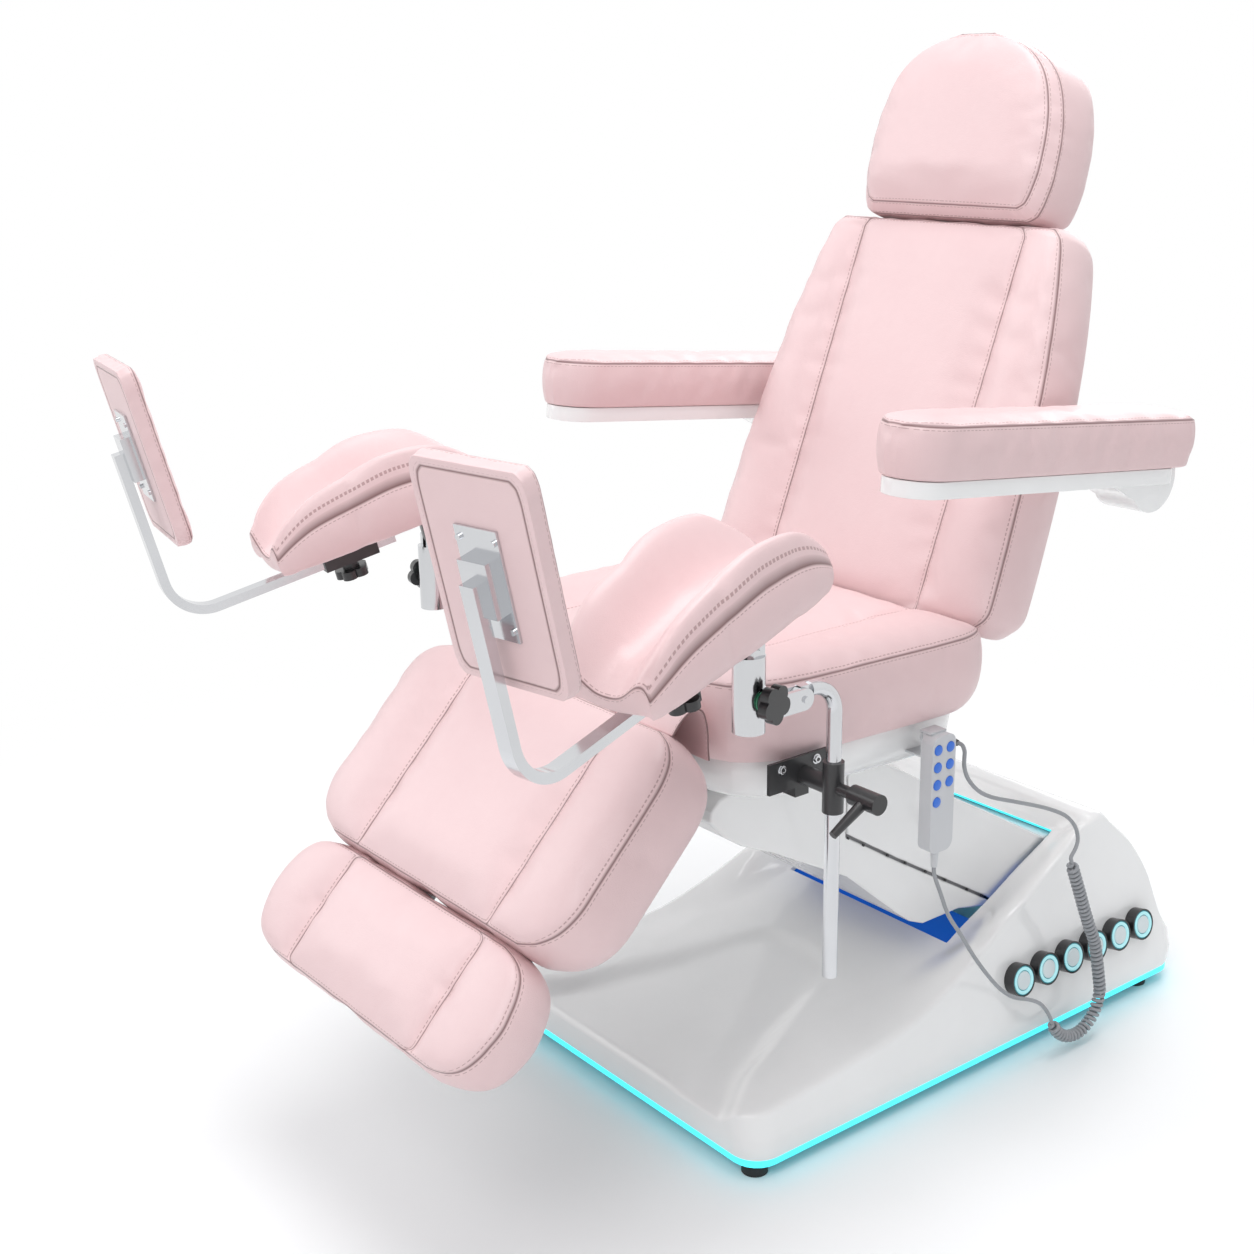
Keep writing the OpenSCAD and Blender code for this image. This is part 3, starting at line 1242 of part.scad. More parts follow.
// Armrests
armrest_seam = [163, 1055];
module armrest_place(s) {
    on_side(s) translate([arm_x, armrest_seam[0], armrest_seam[1]])
        rotate([-armrest_fall, 0, 0]) children();
}
module armrest_pad(s) {
    color(pink) armrest_place(s) sewn_pad(armrest_length, armrest_width / 2,
        armrest_rows_shares, plain_rise_shares, armrest_crown,
        [[bulge / 2, -armrest_wall / 2], [-bulge / 2, -armrest_wall]]);
}
tray_in = 6;
lump_half = 34;
lump_rise = 12;
module armrest_tray(s) {
    difference() {
        color("white") union() {
            armrest_place(s) translate([0, armrest_length / 2,
                    -armrest_wall - part_gap - tray_thick])
                linear_extrude(tray_thick)
                    polygon(rounded(armrest_width - 2 * tray_in, armrest_length - 2 * tray_in,
                        armrest_width / 2 - tray_in - cut));
            on_side(s) {
                along_x(2 * lump_half, arm_pivot[0], arm_pivot[1], arm_x)
                    circle(arm_tube_d / 2 + 3 * lump_rise);
                translate([arm_x - lump_half, 0, 0]) rotate([90, 0, 90])
                    linear_extrude(2 * lump_half) polygon([
                        [arm_pivot[0] - 10 * lump_rise, armrest_under(arm_pivot[0] - 10 * lump_rise)],
                        [arm_pivot[0], arm_pivot[1] - arm_tube_d / 2 - 3 * lump_rise],
                        [arm_pivot[0] + arm_tube_d, arm_pivot[1] - arm_tube_d / 2 - 2 * lump_rise],
                        [arm_pivot[0] + 4 * lump_rise, armrest_under(arm_pivot[0] + 4 * lump_rise)]]);
            }
        }
        on_side(s) along_x(arm_tube_half - arm_inner_x + 2 * armrest_width / 2, arm_pivot[0],
                arm_pivot[1], (arm_inner_x + arm_tube_half) / 2 - armrest_width / 2 + part_gap)
            circle(arm_tube_d / 2 + run_gap);
        armrest_place(s) translate([-armrest_width, 0, -armrest_wall - part_gap])
            cube([2 * armrest_width, 2 * armrest_length, 2 * armrest_wall]);
    }
}
function armrest_under(y) = armrest_seam[1] - (y - armrest_seam[0]) * tan(armrest_fall)
    - (armrest_wall + tray_thick / 2) / cos(armrest_fall);

// Leg rest: Y runs up the slope towards the seat, from the calf cushion's upper edge
calf_edge = [leg_pivot_y - 90, leg_pivot_z + 80];
module leg_place() {
    translate([0, calf_edge[0], calf_edge[1]]) rotate([leg_slope, 0, 0])
        translate([0, -calf_length, 0]) children();
}
module calf_cushion() {
    color(pink) leg_place() sewn_pad(calf_length, calf_half, calf_rows_shares,
        channel_rise_shares, crown, main_steps(calf_thick, seat_tuck), true);
}
leg_board = 8;
leg_board_half = 210;
leg_board_in = 22;
tube_x = 120;
slide_wall_t = 4;
slide_depth = calf_thick + part_gap + leg_board + slide_rod_d / 2 + slide_wall_t;
slide_tube = 190;
rod_engaged = 180;
module leg_frame() {
    color("dimgray") {
        leg_place() {
            translate([0, calf_length / 2, -calf_thick - part_gap - leg_board])
                linear_extrude(leg_board) polygon(rounded(2 * leg_board_half,
                    calf_length - 2 * leg_board_in, leg_board_in));
            for (i = [-1, 1]) difference() {
                translate([i * tube_x, leg_board_in, -slide_depth]) rotate([-90, 0, 0])
                    cylinder(h = slide_tube, d = slide_rod_d + 2 * slide_wall_t);
                translate([i * tube_x, leg_board_in - cut, -slide_depth]) rotate([-90, 0, 0])
                    cylinder(h = slide_tube + 2 * cut, d = slide_rod_d + 2 * run_gap);
            }
        }
        for (s = [left, right]) difference() {
            union() {
                translate([s * (leg_lug_x + steel_plate + part_gap), 0, 0]) slab()
                    translate([leg_pivot_y, leg_pivot_z]) circle(leg_hub_r);
                translate([s * (leg_lug_x + steel_plate + part_gap), 0, 0]) slab() polygon([
                    in_leg(0, calf_thick + part_gap + leg_board + cut) + [0, leg_hub_r / 2],
                    in_leg(2 * leg_board_in, calf_thick + part_gap + leg_board / 2),
                    in_leg(3 * leg_board_in, calf_thick + part_gap + leg_board),
                    [leg_pivot_y, leg_pivot_z - leg_hub_r]]);
            }
            along_x(base_half * 2, leg_pivot_y, leg_pivot_z) circle(leg_shaft_d / 2 + run_gap);
        }
    }
}
function in_leg(down, back) = [
    calf_edge[0] - down * cos(leg_slope) + back * sin(leg_slope),
    calf_edge[1] - down * sin(leg_slope) - back * cos(leg_slope)];
foot_shift = 9;
foot_board = 8;
module foot_place() {
    leg_place() translate([0, -foot_gap - foot_length, -foot_shift]) children();
}
module foot_frame() {
    color("dimgray") {
        foot_place() translate([0, foot_length / 2, -foot_thick - part_gap - foot_board])
            linear_extrude(foot_board) polygon(rounded(2 * leg_board_half,
                foot_length - 2 * leg_board_in, leg_board_in));
        leg_place() for (i = [-1, 1]) {
            translate([i * tube_x, -foot_gap - foot_length + leg_board_in, -slide_depth])
                rotate([-90, 0, 0])
                    cylinder(h = foot_length + foot_gap + rod_engaged - leg_board_in,
                        d = slide_rod_d);
            translate([i * tube_x - slide_rod_d / 2, -foot_gap - foot_length + leg_board_in,
                    -slide_depth])
                cube([slide_rod_d, foot_length - 3 * leg_board_in,
                    slide_depth - foot_shift - foot_thick - part_gap - foot_board]);
        }
    }
}
module foot_cushion() {
    color(pink) foot_place() sewn_pad(foot_length, foot_half, foot_rows_shares,
        channel_rise_shares, crown, main_steps(foot_thick, seat_tuck), true);
}

// Handset: its case with a hook at its back, a hook plate on the seat, keys and strain relief
handset_y = 304;
handset_top_z = 606;
handset_x = 314;
case_corner = 14;
key_rows = 4;
key_first_down = 19;
key_pitch_z = 25.4;
key_pitch_y = 24;
key_depth = 6;
key_proud = 1.5;
key_gap = 0.3;
hook_x = handset_x - 2;
hook_plate = 3;
hook_width = 30;
hook_up = 22;
relief_length = 26;
relief_d1 = 12;
relief_d2 = 9;
module case_place() {
    translate([handset_x, handset_y, handset_top_z - handset_length]) rotate([90, 0, 90]) children();
}
module handset_case() {
    color("lightgray") {
        difference() {
            case_place() translate([0, handset_length / 2]) linear_extrude(handset_thick)
                polygon(rounded(handset_width, handset_length, case_corner));
            for (i = [0 : 6]) key_at(i) translate([0, 0, -key_depth])
                cylinder(h = key_depth + cut, d = key_d + 2 * key_gap);
        }
        translate([handset_x + handset_thick / 2, handset_y, handset_top_z - handset_length
                - relief_length])
            cylinder(h = relief_length, d1 = relief_d2, d2 = relief_d1);
        translate([hook_x - sheet, handset_y - hook_width / 2, handset_top_z - hook_up / 2])
            cube([handset_x - hook_x + sheet, hook_width, hook_up / 2]);
        translate([hook_x - hook_plate - 2 * sheet, handset_y - hook_width / 2,
                handset_top_z - hook_up / 2])
            cube([sheet - part_gap, hook_width, hook_up / 2]);
        translate([hook_x - hook_plate - 2 * sheet, handset_y - hook_width / 2, handset_top_z])
            cube([handset_x - hook_x + hook_plate + 2 * sheet + handset_thick / 2, hook_width, sheet]);
    }
}
module key_at(i) {
    column = i % 2;
    row = floor(i / 2);
    translate([handset_x + handset_thick, handset_y + (column - 1 / 2) * key_pitch_y,
            handset_top_z - key_first_down - row * key_pitch_z])
        rotate([0, 90, 0]) children();
}
module handset_button(i) {
    color("dodgerblue") key_at(i) translate([0, 0, -key_depth + key_travel + key_gap])
        cylinder(h = key_depth - key_travel - key_gap + key_proud, d = key_d);
}
hook_low = 34;
hook_bolt_d = 8;
module handset_hook() {
    color("silver") {
        translate([hook_x - sheet - hook_plate, handset_y - hook_width / 2,
                handset_top_z - hook_low])
            cube([hook_plate - part_gap, hook_width, hook_low - part_gap]);
        hook_from = frame_x + frame_bar / 2;
        translate([hook_from, handset_y - hook_width / 2, handset_top_z - hook_low - hook_plate])
            cube([hook_x - sheet - part_gap - hook_from, hook_width, hook_plate]);
    }
}

// Cord: its routes are points chosen by hand, a closed tube swept through each
cord_x = handset_x + handset_thick / 2;
lower_route = [
    [325, 304, 408], [325, 304, 401], [325, 307, 390], [326, 318, 364], [327, 335, 325], [328, 362, 286],
    [329, 393, 240], [330, 424, 200], [330, 455, 166], [330, 486, 142], [330, 521, 126],
    [330, 548, 110], [330, 565, 92], [330, 576, 75], [330, 580, 67]
];
coil_route = [
    [330, 580, 67], [330, 584, 59], [330, 598, 41], [330, 621, 27], [330, 649, 24],
    [330, 674, 35], [330, 691, 57], [330, 696, 78], [330, 693, 98], [330, 676, 167],
    [330, 658, 205], [330, 641, 242], [330, 627, 275], [330, 608, 318], [330, 604, 330]
];
upper_route = [
    [330, 604, 330], [330, 603, 337], [329, 614, 348], [328, 619, 362], [326, 612, 384],
    [324, 590, 406], [321, 557, 424], [318, 522, 439], [315, 478, 456], [313, 433, 474],
    [312, 404, 492], [311, 384, 514], [312, 374, 534], [313, 372, 548], [313, 372, 558],
    [310, 372, 565], [306, 372, 567.7], [300, 372, 567.7]
];
function cat(a, b, c, d, t) = 1 / 2 * (2 * b + (c - a) * t + (2 * a - 5 * b + 4 * c - d) * t * t
    + (3 * b - a - 3 * c + d) * t * t * t);
function smooth(v, steps) = let (n = len(v) - 1)
    concat([for (i = [0 : n - 1]) for (k = [0 : steps - 1])
        cat(v[max(0, i - 1)], v[i], v[i + 1], v[min(n, i + 2)], k / steps)], [v[n]]);
full_turn = 360;
function unit(v) = v / norm(v);
function tangents(p) = let (n = len(p) - 1)
    [for (i = [0 : n]) unit(p[min(n, i + 1)] - p[max(0, i - 1)])];
function square_to(v, t) = unit(v - (v * t) * t);
module swept(p, r, sides, normals) {
    t = tangents(p);
    points = [for (i = [0 : len(p) - 1]) let (a = square_to(normals[i], t[i]), b = cross(t[i], a))
        for (k = [0 : sides - 1]) let (w = full_turn * k / sides) p[i] + r * (cos(w) * a + sin(w) * b)];
    rings = [for (i = [0 : len(p) - 1]) [for (k = [0 : sides - 1]) i * sides + k]];
    faces = concat([[for (k = [0 : sides - 1]) k]],
        [for (i = [0 : len(p) - 2]) each wall_faces(rings[i], rings[i + 1], true)],
        [[for (k = [sides - 1 : -1 : 0]) (len(p) - 1) * sides + k]]);
    triangles = [for (f = faces) each (len(f) == 3 ? [f]
        : [for (k = [1 : len(f) - 2]) [f[0], f[k], f[k + 1]]])];
    polyhedron(points, triangles);
}
cord_sides = 8;
sweep_side = [1, 1, 1];
module cord_tube(route, steps) {
    p = smooth(route, steps);
    swept(p, cord_d / 2, cord_sides, [for (q = p) sweep_side]);
}
module cord_lower() { color("silver") cord_tube(lower_route, 2); }
module cord_upper() { color("silver") cord_tube(upper_route, 2); }

curl_rings = 8;
curl_sides = 6;
curl_radius = (curl_d - cord_d) / 2;
// Points and running lengths along the coil's middle line
coil_line = smooth(coil_route, 12);
coil_steps = [for (i = [1 : len(coil_line) - 1]) norm(coil_line[i] - coil_line[i - 1])];
function sums(v) = [for (i = 0, s = 0; i <= len(v); s = s + (i < len(v) ? v[i] : 0), i = i + 1) s];
coil_at = sums(coil_steps);
coil_length = coil_at[len(coil_at) - 1];
coil_y = [for (i = [0 : len(coil_line) - 1]) [coil_at[i], coil_line[i].y]];
coil_z = [for (i = [0 : len(coil_line) - 1]) [coil_at[i], coil_line[i].z]];
function on_coil(s) = [coil_line[0].x, lookup(s, coil_y), lookup(s, coil_z)];
function coil_tangent(s) = let (d = cord_d) unit(on_coil(min(coil_length, s + d))
    - on_coil(max(0, s - d)));
curl_span = coil_length - 2 * cord_d;
curl_total = curls * curl_rings;
function curl_out(i) = let (s = cord_d + curl_span * i / curl_total, t = coil_tangent(s),
        a = 360 * i / curl_rings, side = cross(t, [1, 0, 0]))
    cos(a) * [1, 0, 0] + sin(a) * side;
curl_ramp = bound(1 / 2) * curl_rings;
curl_points = concat([on_coil(0)],
    [for (i = [0 : curl_total]) let (grow = bound(min(i, curl_total - i) / curl_ramp))
        on_coil(cord_d + curl_span * i / curl_total) + grow * curl_radius * curl_out(i)],
    [on_coil(coil_length)]);
curl_normals = concat([curl_out(0)], [for (i = [0 : curl_total]) curl_out(i)],
    [curl_out(curl_total)]);
module cord_coil() { color("silver") swept(curl_points, cord_d / 2, curl_sides, curl_normals); }
// Least gap of the curly cord to itself, on points of neighbouring turns
curl_gap = min([for (i = [0 : 1 : len(curl_points) - 1 - curl_rings])
    min([for (j = [-2 : 2]) let (o = i + curl_rings + j)
        o < len(curl_points) ? norm(curl_points[i] - curl_points[o]) : coil_length])]) - cord_d;
echo(curl_gap = curl_gap, coil_length = coil_length);

module place() { translate([0, -frame_shift_y, 0]) children(); }

place() base_shell();
place() base_frame();
place() rubber_feet();
place() light_strip();
place() well_tray();
place() button_bezels();
place() mains_inlet();
place() base_button(0);  // base_button_1
place() base_button(1);  // base_button_2
place() base_button(2);  // base_button_3
place() base_button(3);  // base_button_4
place() base_button(4);  // base_button_5
place() base_button(5);  // base_button_6
place() arm_cover_upper();
place() arm_cover_lower();
place() lift_arm();
place() seat_frame();
place() seat_shell();
place() seat_cushion();
place() clamp_brackets();
place() handset_hook();
place() handset_case();
place() cord_lower();
place() cord_coil();
place() cord_upper();
place() handset_button(0);  // handset_button_1
place() handset_button(1);  // handset_button_2
place() handset_button(2);  // handset_button_3
place() handset_button(3);  // handset_button_4
place() handset_button(4);  // handset_button_5
place() handset_button(5);  // handset_button_6
place() handset_button(6);  // handset_button_7
place() back_frame();
place() back_cushion();
place() headrest_post();
place() headrest_cushion();
place() armrest_pad(left);  // armrest_pad_left
place() armrest_pad(right);  // armrest_pad_right
place() armrest_tray(left);  // armrest_tray_left
place() armrest_tray(right);  // armrest_tray_right
place() leg_frame();
place() calf_cushion();
place() foot_frame();
place() foot_cushion();
place() clamp_handle(left);  // clamp_handle_left
place() clamp_handle(right);  // clamp_handle_right
place() support_rod(left);  // support_rod_left
place() support_rod(right);  // support_rod_right
place() support_tube(left);  // support_tube_left
place() support_tube(right);  // support_tube_right
place() tube_knob(left);  // tube_knob_left
place() tube_knob(right);  // tube_knob_right
place() leg_pad(left);  // leg_pad_left
place() leg_pad(right);  // leg_pad_right
place() pad_knob(left);  // pad_knob_left
place() pad_knob(right);  // pad_knob_right
place() foot_bar(left);  // foot_bar_left
place() foot_bar(right);  // foot_bar_right
place() foot_pad(left);  // foot_pad_left
place() foot_pad(right);  // foot_pad_right
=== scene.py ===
"""Looks of an electric treatment chair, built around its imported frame.

Every size is in millimetres as measured on the chair, with y counted from the base's front
edge; `placed` turns such points into the frame's metres.
"""

import logging
import math
from collections.abc import Callable, Sequence
from dataclasses import dataclass
from enum import Enum

import bmesh
import bpy
import numpy as np
from mathutils import Matrix, Vector


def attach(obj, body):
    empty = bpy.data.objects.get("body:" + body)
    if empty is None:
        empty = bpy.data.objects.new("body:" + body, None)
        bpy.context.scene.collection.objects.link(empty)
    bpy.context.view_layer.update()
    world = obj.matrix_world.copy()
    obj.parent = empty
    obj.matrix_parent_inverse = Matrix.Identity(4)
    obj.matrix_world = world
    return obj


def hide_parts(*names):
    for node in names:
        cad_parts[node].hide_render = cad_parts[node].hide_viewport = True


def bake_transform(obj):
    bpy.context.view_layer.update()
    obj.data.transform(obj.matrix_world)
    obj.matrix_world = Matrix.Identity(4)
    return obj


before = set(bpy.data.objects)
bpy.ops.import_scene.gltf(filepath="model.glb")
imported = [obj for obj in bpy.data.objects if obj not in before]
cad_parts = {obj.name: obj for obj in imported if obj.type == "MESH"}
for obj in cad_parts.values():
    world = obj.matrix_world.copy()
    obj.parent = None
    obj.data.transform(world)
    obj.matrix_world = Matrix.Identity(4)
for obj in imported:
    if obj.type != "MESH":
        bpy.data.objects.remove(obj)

log = logging.getLogger("treatment_chair")

SHIFT_Y = 226.8
MM = 0.001
LEFT, RIGHT = 1, -1
SIDE_NAME = {LEFT: "left", RIGHT: "right"}
FAR = 999.0  # mm, the distance to a seam where there is none
QUARTER_TURN = math.pi / 2
Point = tuple[float, float, float]
Face = tuple[int, ...]


class Slot(Enum):
    """The record's material slots."""

    SHELL = "white_shell"
    LEATHER = "leather"
    STEEL = "frame_steel"
    WHITE_METAL = "white_metal"
    CHROME = "chrome"
    BLACK_METAL = "black_metal"
    BLACK_PLASTIC = "black_plastic"
    RUBBER = "rubber_black"
    LIGHT = "light_cyan"
    TRAY = "tray_blue"
    KEY = "key_silver"
    HANDSET = "handset_grey"
    HAND_KEY = "key_blue"
    CORD = "cord_grey"


def placed(points: np.ndarray) -> np.ndarray:
    """Turns measured millimetres into the frame's metres.

    Args:
        points: An array whose last axis is x, y, z.

    Returns:
        The same points in metres.
    """
    out = np.array(points, float)
    out[..., 1] -= SHIFT_Y
    return out * MM


def curve_through(xs: Sequence[float], ys: Sequence[float], at: np.ndarray) -> np.ndarray:
    """A smooth curve through points that never overshoots them (monotone cubic).

    Args:
        xs: Rising places.
        ys: The value at each place.
        at: Where the curve is read.

    Returns:
        The curve's values.
    """
    x, y = np.asarray(xs, float), np.asarray(ys, float)
    h, d = np.diff(x), np.diff(y) / np.diff(x)
    m = np.zeros(len(x))
    m[0], m[-1] = d[0], d[-1]
    for i in range(1, len(x) - 1):
        if d[i - 1] * d[i] > 0:
            a, b = 2 * h[i] + h[i - 1], h[i] + 2 * h[i - 1]
            m[i] = (a + b) / (a / d[i - 1] + b / d[i])
    q = np.clip(np.asarray(at, float), x[0], x[-1])
    k = np.clip(np.searchsorted(x, q, side="right") - 1, 0, len(x) - 2)
    t = (q - x[k]) / h[k]
    return ((1 + 2 * t) * (1 - t) ** 2 * y[k] + t * (1 - t) ** 2 * h[k] * m[k]
            + t * t * (3 - 2 * t) * y[k + 1] + t * t * (t - 1) * h[k] * m[k + 1])


def eased(t: np.ndarray) -> np.ndarray:
    """A smooth step from 0 to 1."""
    b = np.clip(t, 0, 1)
    return b * b * (3 - 2 * b)


def quarter(u: np.ndarray) -> np.ndarray:
    """Height of a quarter circle: 0 at u = 0 and 1 from u = 1 on."""
    b = 1 - np.clip(u, 0, 1)
    return np.sqrt(np.maximum(0, 1 - b * b))


def read_points(data: bpy.types.Mesh) -> np.ndarray:
    """The points of a mesh, one in a row."""
    flat = np.empty(len(data.vertices) * 3, np.float32)
    data.vertices.foreach_get("co", flat)
    return flat.reshape(-1, 3)


def write_points(data: bpy.types.Mesh, points: np.ndarray) -> None:
    """Moves the points of a mesh to new places."""
    data.vertices.foreach_set("co", np.asarray(points).ravel().astype(np.float32))
    data.update()


def moved(points: np.ndarray, matrix: Matrix) -> np.ndarray:
    """Points of a piece's own frame, set in place by its matrix."""
    return points @ np.array(matrix.to_3x3()).T + np.array(matrix.translation)


def mirrored(side: int) -> Matrix:
    """Puts a place measured on the left on the given side."""
    return Matrix.Diagonal((side, 1, 1, 1))


def run_along(line: np.ndarray) -> np.ndarray:
    """The distance from a line's first point to each of its points."""
    return np.concatenate([[0], np.cumsum(np.linalg.norm(np.diff(line, axis=0), axis=1))])


def normals(line: np.ndarray) -> np.ndarray:
    """The unit normal at each point of a line in a plane."""
    t = np.gradient(line, axis=0)
    return np.column_stack([-t[:, 1], t[:, 0]]) / np.linalg.norm(t, axis=1)[:, None]


def both_halves(half: np.ndarray, flip: float = 1) -> np.ndarray:
    """A row from its middle outwards, with its mirror image before it, times flip."""
    return np.concatenate([half[:0:-1] * flip, half])


def sheet_faces(rows: int, columns: int, start: int = 0, skip: Callable | None = None,
                turned: bool = False) -> list[Face]:
    """The four-sided faces of a grid of points, numbered row by row.

    Args:
        rows: How many rows of points the grid has.
        columns: How many points a row has.
        start: The number of the grid's first point.
        skip: Tells by row and column which faces are left out.
        turned: Whether the faces look the other way.

    Returns:
        The faces as point numbers.
    """
    cells = [(start + r * columns + c, columns) for r in range(rows - 1) for c in range(columns - 1)
             if not (skip and skip(r, c))]
    faces = [(q, q + 1, q + n + 1, q + n) for q, n in cells]
    return [face[::-1] for face in faces] if turned else faces


def band_faces(before: np.ndarray, now: np.ndarray) -> list[Face]:
    """The faces between two closed rings with the same number of points."""
    k = len(before)
    return [(before[(i + 1) % k], before[i], now[i], now[(i + 1) % k]) for i in range(k)]


def border(first: int, last: int, low: int, high: int) -> list[tuple[int, int]]:
    """The rows and columns round the edge of a part of a grid.

    Args:
        first: The part's first row.
        last: Its last row.
        low: Its first column.
        high: Its last column.

    Returns:
        Row and column of each point, once round.
    """
    return ([(first, c) for c in range(low, high + 1)]
            + [(r, high) for r in range(first + 1, last + 1)]
            + [(last, c) for c in range(high - 1, low - 1, -1)]
            + [(r, low) for r in range(last - 1, first, -1)])


# ---- Shading ---------------------------------------------------------------------------------


def feed(tree: bpy.types.NodeTree, value: object, socket: bpy.types.NodeSocket) -> None:
    """Links a value of the tree to a socket, or sets the socket to a plain value or colour.

    Args:
        tree: The tree that the socket is in.
        value: A node's output, a number or a colour.
        socket: What is fed.
    """
    if isinstance(value, Shade):
        tree.links.new(value.socket, socket)
    else:
        socket.default_value = (*value, 1) if socket.type == "RGBA" else value


def node(tree: bpy.types.NodeTree, kind: str, settings: dict[str, object] | None = None,
         values: dict[str | int, object] | None = None, output: str | int = 0) -> "Shade":
    """Adds a node to a tree.

    Args:
        tree: The tree that it joins.
        kind: The node's type.
        settings: Its properties, which are set first.
        values: The values or links of its sockets, by name or number.
        output: The output that is handed back, by name or number.

    Returns:
        The node's output.
    """
    made = tree.nodes.new(kind)
    for name, value in (settings or {}).items():
        setattr(made, name, value)
    for name, value in (values or {}).items():
        feed(tree, value, made.inputs[name])
    return Shade(tree, made.outputs[output])


class Shade:
    """A value or colour in a node tree. An expression on values adds its Math nodes."""

    def __init__(self, tree: bpy.types.NodeTree, socket: bpy.types.NodeSocket) -> None:
        """Wraps a node's output."""
        self.tree, self.socket = tree, socket

    def math(self, kind: str, *terms: "Shade | float", clamp: bool = False) -> "Shade":
        """The result of one Math node on the terms, held between 0 and 1 if clamp is set."""
        return node(self.tree, "ShaderNodeMath", {"operation": kind, "use_clamp": clamp},
                    dict(enumerate(terms)))

    def __add__(self, other: "Shade | float") -> "Shade":
        """The sum."""
        return self.math("ADD", self, other)

    def __radd__(self, other: float) -> "Shade":
        """The sum with a number in front."""
        return self.math("ADD", other, self)

    def __sub__(self, other: "Shade | float") -> "Shade":
        """The difference."""
        return self.math("SUBTRACT", self, other)

    def __rsub__(self, other: float) -> "Shade":
        """The difference with a number in front."""
        return self.math("SUBTRACT", other, self)

    def __mul__(self, other: "Shade | float") -> "Shade":
        """The product."""
        return self.math("MULTIPLY", self, other)

    def __rmul__(self, other: float) -> "Shade":
        """The product with a number in front."""
        return self.math("MULTIPLY", other, self)

    def __truediv__(self, other: "Shade | float") -> "Shade":
        """The quotient."""
        return self.math("DIVIDE", self, other)

    def __rtruediv__(self, other: float) -> "Shade":
        """The quotient of a number by the value."""
        return self.math("DIVIDE", other, self)

    def __abs__(self) -> "Shade":
        """The value without its sign."""
        return self.math("ABSOLUTE", self)

    def below(self, edge: "Shade | float") -> "Shade":
        """1 where the value is less than edge, and 0 elsewhere."""
        return self.math("LESS_THAN", self, edge)

    def fraction(self) -> "Shade":
        """What is left of the value above its whole part."""
        return self.math("FRACT", self)

    def clamped(self) -> "Shade":
        """The value held between 0 and 1."""
        return self.math("ADD", self, 0.0, clamp=True)


def seen_directly(tree: bpy.types.NodeTree) -> Shade:
    """1 for rays from the camera, in reflections and through glass, which see the background."""
    camera, glossy, clear = (node(tree, "ShaderNodeLightPath", output=name) for name in
                             ("Is Camera Ray", "Is Glossy Ray", "Is Transmission Ray"))
    return (camera + glossy + clear).clamped()


class Surface:
    """A material with the nodes that vary it, read from object coordinates."""

    def __init__(self, name: str, color: Point, roughness: float, metallic: float = 0.0) -> None:
        """Makes a plain material.

        Args:
            name: The material's name.
            color: Its base colour.
            roughness: How rough it is.
            metallic: 1 for bare metal.
        """
        self.material = bpy.data.materials.new(name)
        self.material.use_nodes = True
        self.tree = self.material.node_tree
        self.shader = self.tree.nodes["Principled BSDF"]
        self.constant("Base Color", (*color, 1)).constant("Roughness", roughness)
        self.constant("Metallic", metallic)
        self.material.diffuse_color = (*color, 1)
        self.coords = node(self.tree, "ShaderNodeTexCoord", output="Object")

    def constant(self, name: str, value: float | tuple) -> "Surface":
        """Sets one of the shader's own sockets to the same value everywhere."""
        self.shader.inputs[name].default_value = value
        return self

    def drive(self, name: str, value: Shade) -> "Surface":
        """Links a value or colour to one of the shader's sockets."""
        feed(self.tree, value, self.shader.inputs[name])
        return self

    def noise(self, scale: float, detail: float = 2.0, stretch: Point = (1, 1, 1)) -> Shade:
        """Smooth noise: scale cells in a metre, times stretch along each axis."""
        place = node(self.tree, "ShaderNodeMapping", {}, {"Scale": stretch, "Vector": self.coords})
        return node(self.tree, "ShaderNodeTexNoise", {},
                    {"Scale": scale, "Detail": detail, "Vector": place}, "Fac")

    def cells(self, scale: float) -> Shade:
        """Distance to the middle of the nearest cell, for pebbled grain."""
        return node(self.tree, "ShaderNodeTexVoronoi", {}, {"Scale": scale, "Vector": self.coords},
                    "Distance")

    def attribute(self, name: str) -> Shade:
        """A value kept on the mesh's points."""
        return node(self.tree, "ShaderNodeAttribute", {"attribute_name": name}, output="Fac")

    def mixed(self, factor: Shade, low: "Point | Shade", high: "Point | Shade") -> Shade:
        """A colour between low, at 0, and high, at 1."""
        return node(self.tree, "ShaderNodeMix", {"data_type": "RGBA"}, {0: factor, 6: low, 7: high}, 2)

    def whitened(self, factor: Shade) -> "Surface":
        """Turns the surface plain white where factor is 1.

        Args:
            factor: How white it is, from 0 to 1.

        Returns:
            The surface itself.
        """
        white = node(self.tree, "ShaderNodeEmission")
        own = Shade(self.tree, self.shader.outputs[0])
        mix = node(self.tree, "ShaderNodeMixShader", {}, {0: factor, 1: own, 2: white})
        feed(self.tree, mix, self.tree.nodes["Material Output"].inputs["Surface"])
        return self

    def bump(self, height: Shade, distance: float, strength: float = 1.0) -> "Surface":
        """Raises the surface by height times distance, in metres."""
        return self.drive("Normal", node(self.tree, "ShaderNodeBump", {}, {
            "Distance": distance, "Strength": strength, "Height": height}))


